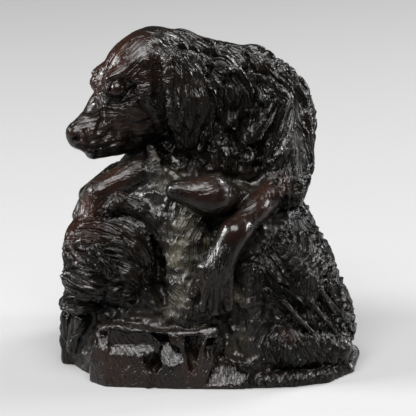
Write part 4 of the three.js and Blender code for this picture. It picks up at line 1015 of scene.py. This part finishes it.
def thin_out(piece, most):
    """Fewer faces where the surface is flatter, down to the given number of triangles."""
    triangles = sum(len(f.vertices) - 2 for f in piece.data.polygons)
    if triangles <= most:
        return
    modifier = piece.modifiers.new("thin", "DECIMATE")
    modifier.ratio = most / triangles
    modifier.use_collapse_triangulate = True
    baked = bpy.data.meshes.new_from_object(piece.evaluated_get(bpy.context.evaluated_depsgraph_get()))
    drop_folds(baked)
    piece.modifiers.clear()
    piece.data = baked


thin_out(dog, MOST_TRIANGLES)
dog.data.shade_smooth()


# Stained and varnished walnut, worn brown on the high spots and dusty in the hollows, with a painted
# highlight that makes the brown stronger on the crests of the strands
DARK_STAIN = (0.0030, 0.0024, 0.0020, 1)
LIGHT_STAIN = (0.0068, 0.0048, 0.0035, 1)
FIBRE_BROWN = (0.011, 0.008, 0.006, 1)
# brown of the wear, also used for the painted highlight on the crests
WORN_AND_HIGHLIT_BROWN = (0.042, 0.0115, 0.0056, 1)
KHAKI_DUST = (0.075, 0.066, 0.040, 1)
HOLLOW_DUST = (0.04, 0.038, 0.027, 1)
SMOOTHEST, ROUGHEST = 0.14, 0.5
STRAND_DEPTH, PORE_DEPTH = 0.0019, 0.0002       # metres
ALONG_THE_GRAIN = (1.0, 1.0, 0.09)


def stained_wood():
    material = bpy.data.materials.new("stained_walnut_carved")
    material.use_nodes = True
    nodes, links = material.node_tree.nodes, material.node_tree.links
    shader = nodes["Principled BSDF"]

    def node(kind, **settings):
        made = nodes.new(kind)
        for name, value in settings.items():
            setattr(made, name, value)
        return made

    def attribute(name):
        return node("ShaderNodeAttribute", attribute_name=name).outputs["Fac"]

    def feed(socket, value):
        if isinstance(value, (int, float, tuple)):
            socket.default_value = value
        else:
            links.new(value, socket)

    place = node("ShaderNodeTexCoord").outputs["Object"]

    def grain(scale, detail=4.0, rough=0.6, stretch=None):
        vector = place
        if stretch:
            mapping = node("ShaderNodeMapping")
            mapping.inputs["Scale"].default_value = stretch
            links.new(place, mapping.inputs["Vector"])
            vector = mapping.outputs["Vector"]
        made = node("ShaderNodeTexNoise")
        made.inputs["Scale"].default_value = scale
        made.inputs["Detail"].default_value = detail
        made.inputs["Roughness"].default_value = rough
        links.new(vector, made.inputs["Vector"])
        return made.outputs["Fac"]

    def ramp(value, low_at, high_at):
        made = node("ShaderNodeMapRange")
        made.interpolation_type = "SMOOTHSTEP"
        made.inputs["From Min"].default_value = low_at
        made.inputs["From Max"].default_value = high_at
        links.new(value, made.inputs["Value"])
        return made.outputs["Result"]

    def maths(kind, a, b):
        made = node("ShaderNodeMath", operation=kind, use_clamp=kind != "SUBTRACT")
        feed(made.inputs[0], a)
        feed(made.inputs[1], b)
        return made.outputs[0]

    def blend(share, a, b):
        made = node("ShaderNodeMix", data_type="RGBA")
        links.new(share, made.inputs["Factor"])
        feed(made.inputs["A"], a)
        feed(made.inputs["B"], b)
        return made.outputs["Result"]

    # Crests and grooves of the carving: on the crests the brown is partly rubbed stain and partly
    # painted highlight
    rubbed_and_highlit_crests = ramp(attribute("crest"), -0.2, 1.2)
    sunk = ramp(attribute("crest"), -0.1, -1.1)
    fibres = grain(260.0, 5.0, 0.65, ALONG_THE_GRAIN)
    clouds = grain(26.0, 3.0, 0.55)
    specks = grain(900.0, 2.0, 0.7)
    stain = blend(ramp(clouds, 0.35, 0.7), DARK_STAIN, LIGHT_STAIN)
    stain = blend(maths("MULTIPLY", ramp(fibres, 0.45, 0.7), 0.5), stain, FIBRE_BROWN)
    wear_and_crest_highlight = maths("MULTIPLY", attribute("wear"), ramp(clouds, 0.25, 0.65))
    # Painted highlight as well as wear: the brown counts more on the crests, so the strands' crests
    # are painted brighter
    wear_and_crest_highlight = maths("MULTIPLY", wear_and_crest_highlight, maths("ADD", maths("MULTIPLY", rubbed_and_highlit_crests, 0.6), 0.4))
    colour = blend(wear_and_crest_highlight, stain, WORN_AND_HIGHLIT_BROWN)
    dust = maths("MULTIPLY", attribute("dust"), ramp(grain(60.0, 4.0, 0.65), 0.42, 0.66))
    colour = blend(maths("MULTIPLY", dust, 0.8), colour, KHAKI_DUST)
    hollow = maths("MULTIPLY", sunk, ramp(grain(45.0, 3.0, 0.6), 0.5, 0.75))
    colour = blend(maths("MULTIPLY", hollow, 0.15), colour, HOLLOW_DUST)
    links.new(colour, shader.inputs["Base Color"])

    # Varnish: smooth on the hair, duller on bare rock, in dust and in grooves
    rough = node("ShaderNodeMapRange")
    rough.inputs["To Min"].default_value = SMOOTHEST
    rough.inputs["To Max"].default_value = ROUGHEST
    dull = maths("ADD", maths("MULTIPLY", ramp(specks, 0.3, 0.7), 0.3), maths("MULTIPLY", dust, 0.8))
    dull = maths("ADD", dull, maths("MULTIPLY", attribute("rocky"), 0.35))
    links.new(maths("ADD", dull, maths("MULTIPLY", sunk, 0.7)), rough.inputs["Value"])
    links.new(rough.outputs["Result"], shader.inputs["Roughness"])
    shader.inputs["Specular IOR Level"].default_value = 0.25
    shader.inputs["Coat Weight"].default_value = 0.12
    shader.inputs["Coat Roughness"].default_value = 0.15

    # Single hairs: one ridge to each strand of the mesh, and finer ones between them
    angle = node("ShaderNodeMath", operation="ARCTAN2")
    links.new(attribute("strand_beside"), angle.inputs[0])
    links.new(attribute("strand_along"), angle.inputs[1])

    def crests(times):
        turned = node("ShaderNodeMath", operation="MULTIPLY")
        feed(turned.inputs[0], angle.outputs[0])
        feed(turned.inputs[1], times)
        wave = node("ShaderNodeMath", operation="SINE")
        links.new(turned.outputs[0], wave.inputs[0])
        rise = node("ShaderNodeMath", operation="ABSOLUTE")
        links.new(wave.outputs[0], rise.inputs[0])
        return maths("SUBTRACT", 1.0, rise.outputs[0])

    threads = maths("ADD", maths("MULTIPLY", crests(1.0), 0.65), maths("MULTIPLY", crests(2.0), 0.35))
    threads = maths("MULTIPLY", threads, maths("ADD", ramp(grain(150.0, 3.0, 0.6), 0.3, 0.7), 0.25))
    threads = maths("MULTIPLY", threads, maths("MULTIPLY", attribute("strand_height"), 3.0))

    def bumped(height, distance, normal=None):
        made = node("ShaderNodeBump")
        made.inputs["Strength"].default_value = 1.0
        made.inputs["Distance"].default_value = distance
        links.new(height, made.inputs["Height"])
        if normal:
            links.new(normal, made.inputs["Normal"])
        return made.outputs["Normal"]

    strand_normal = bumped(threads, STRAND_DEPTH)
    pores = maths("ADD", maths("MULTIPLY", fibres, 0.6), maths("MULTIPLY", specks, 0.4))
    links.new(bumped(pores, PORE_DEPTH, strand_normal), shader.inputs["Normal"])
    return material


dog.data.materials.clear()
dog.data.materials.append(stained_wood())
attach(dog, "root")
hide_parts(NODE)

# Camera: in front, 16 degrees above, so that the figure fills the frame as it is seen
FRAME_PARTS = 126.695296        # parts of the figure across the frame
CENTRE_ACROSS, CENTRE_UP = 0.3, 41.7
DISTANCE = 2.0                  # metres
SENSOR = 36
look = Vector((0, math.cos(TILT), -math.sin(TILT)))
up = Vector((0, math.sin(TILT), math.cos(TILT)))
origin = Vector(shift.tolist())
camera = bpy.data.cameras.new("camera")
camera.sensor_width = SENSOR
camera.lens = SENSOR * DISTANCE / (FRAME_PARTS * PART)
camera.clip_end = 100
viewer = bpy.data.objects.new("camera", camera)
aside = Vector((CENTRE_ACROSS * PART, 0, 0))
viewer.location = origin + aside + up * CENTRE_UP * PART - look * DISTANCE
viewer.rotation_euler = look.to_track_quat("-Z", "Y").to_euler()
bpy.context.scene.collection.objects.link(viewer)
bpy.context.scene.camera = viewer


# Studio: a pale floor with painted shade that darkens it toward the viewer in front of the figure, so
# that the wood reflects a darker floor there, four soft lamps and a weak pale sky
FLOOR_HALF = 6.0
# Painted shade on the floor: its colour from pale behind to dark in front, along Y in metres
FLOOR_PAINTED_SHADE = {"From Min": -0.36, "From Max": -0.165, "To Min": 0.035, "To Max": 0.27}
LAMPS = (
    # name, place, aim, power in watts and side in metres
    ("top", (-0.16, -0.92, 1.8), (0, 0, 0.1), 72, 1.3),
    ("left", (-1.7, -0.2, 1.0), (0, 0, 0.1), 66, 0.7),
    ("right", (1.7, 0.25, 0.75), (0, 0, 0.08), 28, 0.5),
    ("rim", (1.1, 1.0, 1.5), (0, 0, 0.12), 34, 0.6),
)
SKY_COLOUR, SKY_STRENGTH = (0.95, 0.96, 0.97, 1), 0.055


def floor_with_painted_shade():
    floor_mesh = bpy.data.meshes.new("floor")
    sides = ((-1, -1), (1, -1), (1, 1), (-1, 1))
    floor_mesh.from_pydata([(x * FLOOR_HALF, y * FLOOR_HALF, 0) for x, y in sides], [], [(0, 1, 2, 3)])
    floor = bpy.data.objects.new("floor", floor_mesh)
    bpy.context.scene.collection.objects.link(floor)
    material = bpy.data.materials.new("floor_paper")
    material.use_nodes = True
    shader = material.node_tree.nodes["Principled BSDF"]
    nodes, links = material.node_tree.nodes, material.node_tree.links
    place = nodes.new("ShaderNodeSeparateXYZ")
    links.new(nodes.new("ShaderNodeTexCoord").outputs["Object"], place.inputs[0])
    # Painted shade: the floor's colour falls from pale to dark toward the viewer
    shade = nodes.new("ShaderNodeMapRange")
    for name, value in FLOOR_PAINTED_SHADE.items():
        shade.inputs[name].default_value = value
    links.new(place.outputs["Y"], shade.inputs["Value"])
    links.new(shade.outputs["Result"], shader.inputs["Base Color"])
    shader.inputs["Roughness"].default_value = 0.9
    floor_mesh.materials.append(material)


def lamp(name, place, aim, power, size):
    light = bpy.data.lights.new(name, "AREA")
    light.energy = power
    light.size = size
    holder = bpy.data.objects.new(name, light)
    holder.location = place
    holder.rotation_euler = (Vector(aim) - Vector(place)).to_track_quat("-Z", "Y").to_euler()
    bpy.context.scene.collection.objects.link(holder)


floor_with_painted_shade()
for each in LAMPS:
    lamp(*each)
world = bpy.data.worlds.new("studio")
world.use_nodes = True
sky = world.node_tree.nodes["Background"]
sky.inputs["Color"].default_value = SKY_COLOUR
sky.inputs["Strength"].default_value = SKY_STRENGTH
bpy.context.scene.view_settings.view_transform = "Standard"
bpy.context.scene.world = world
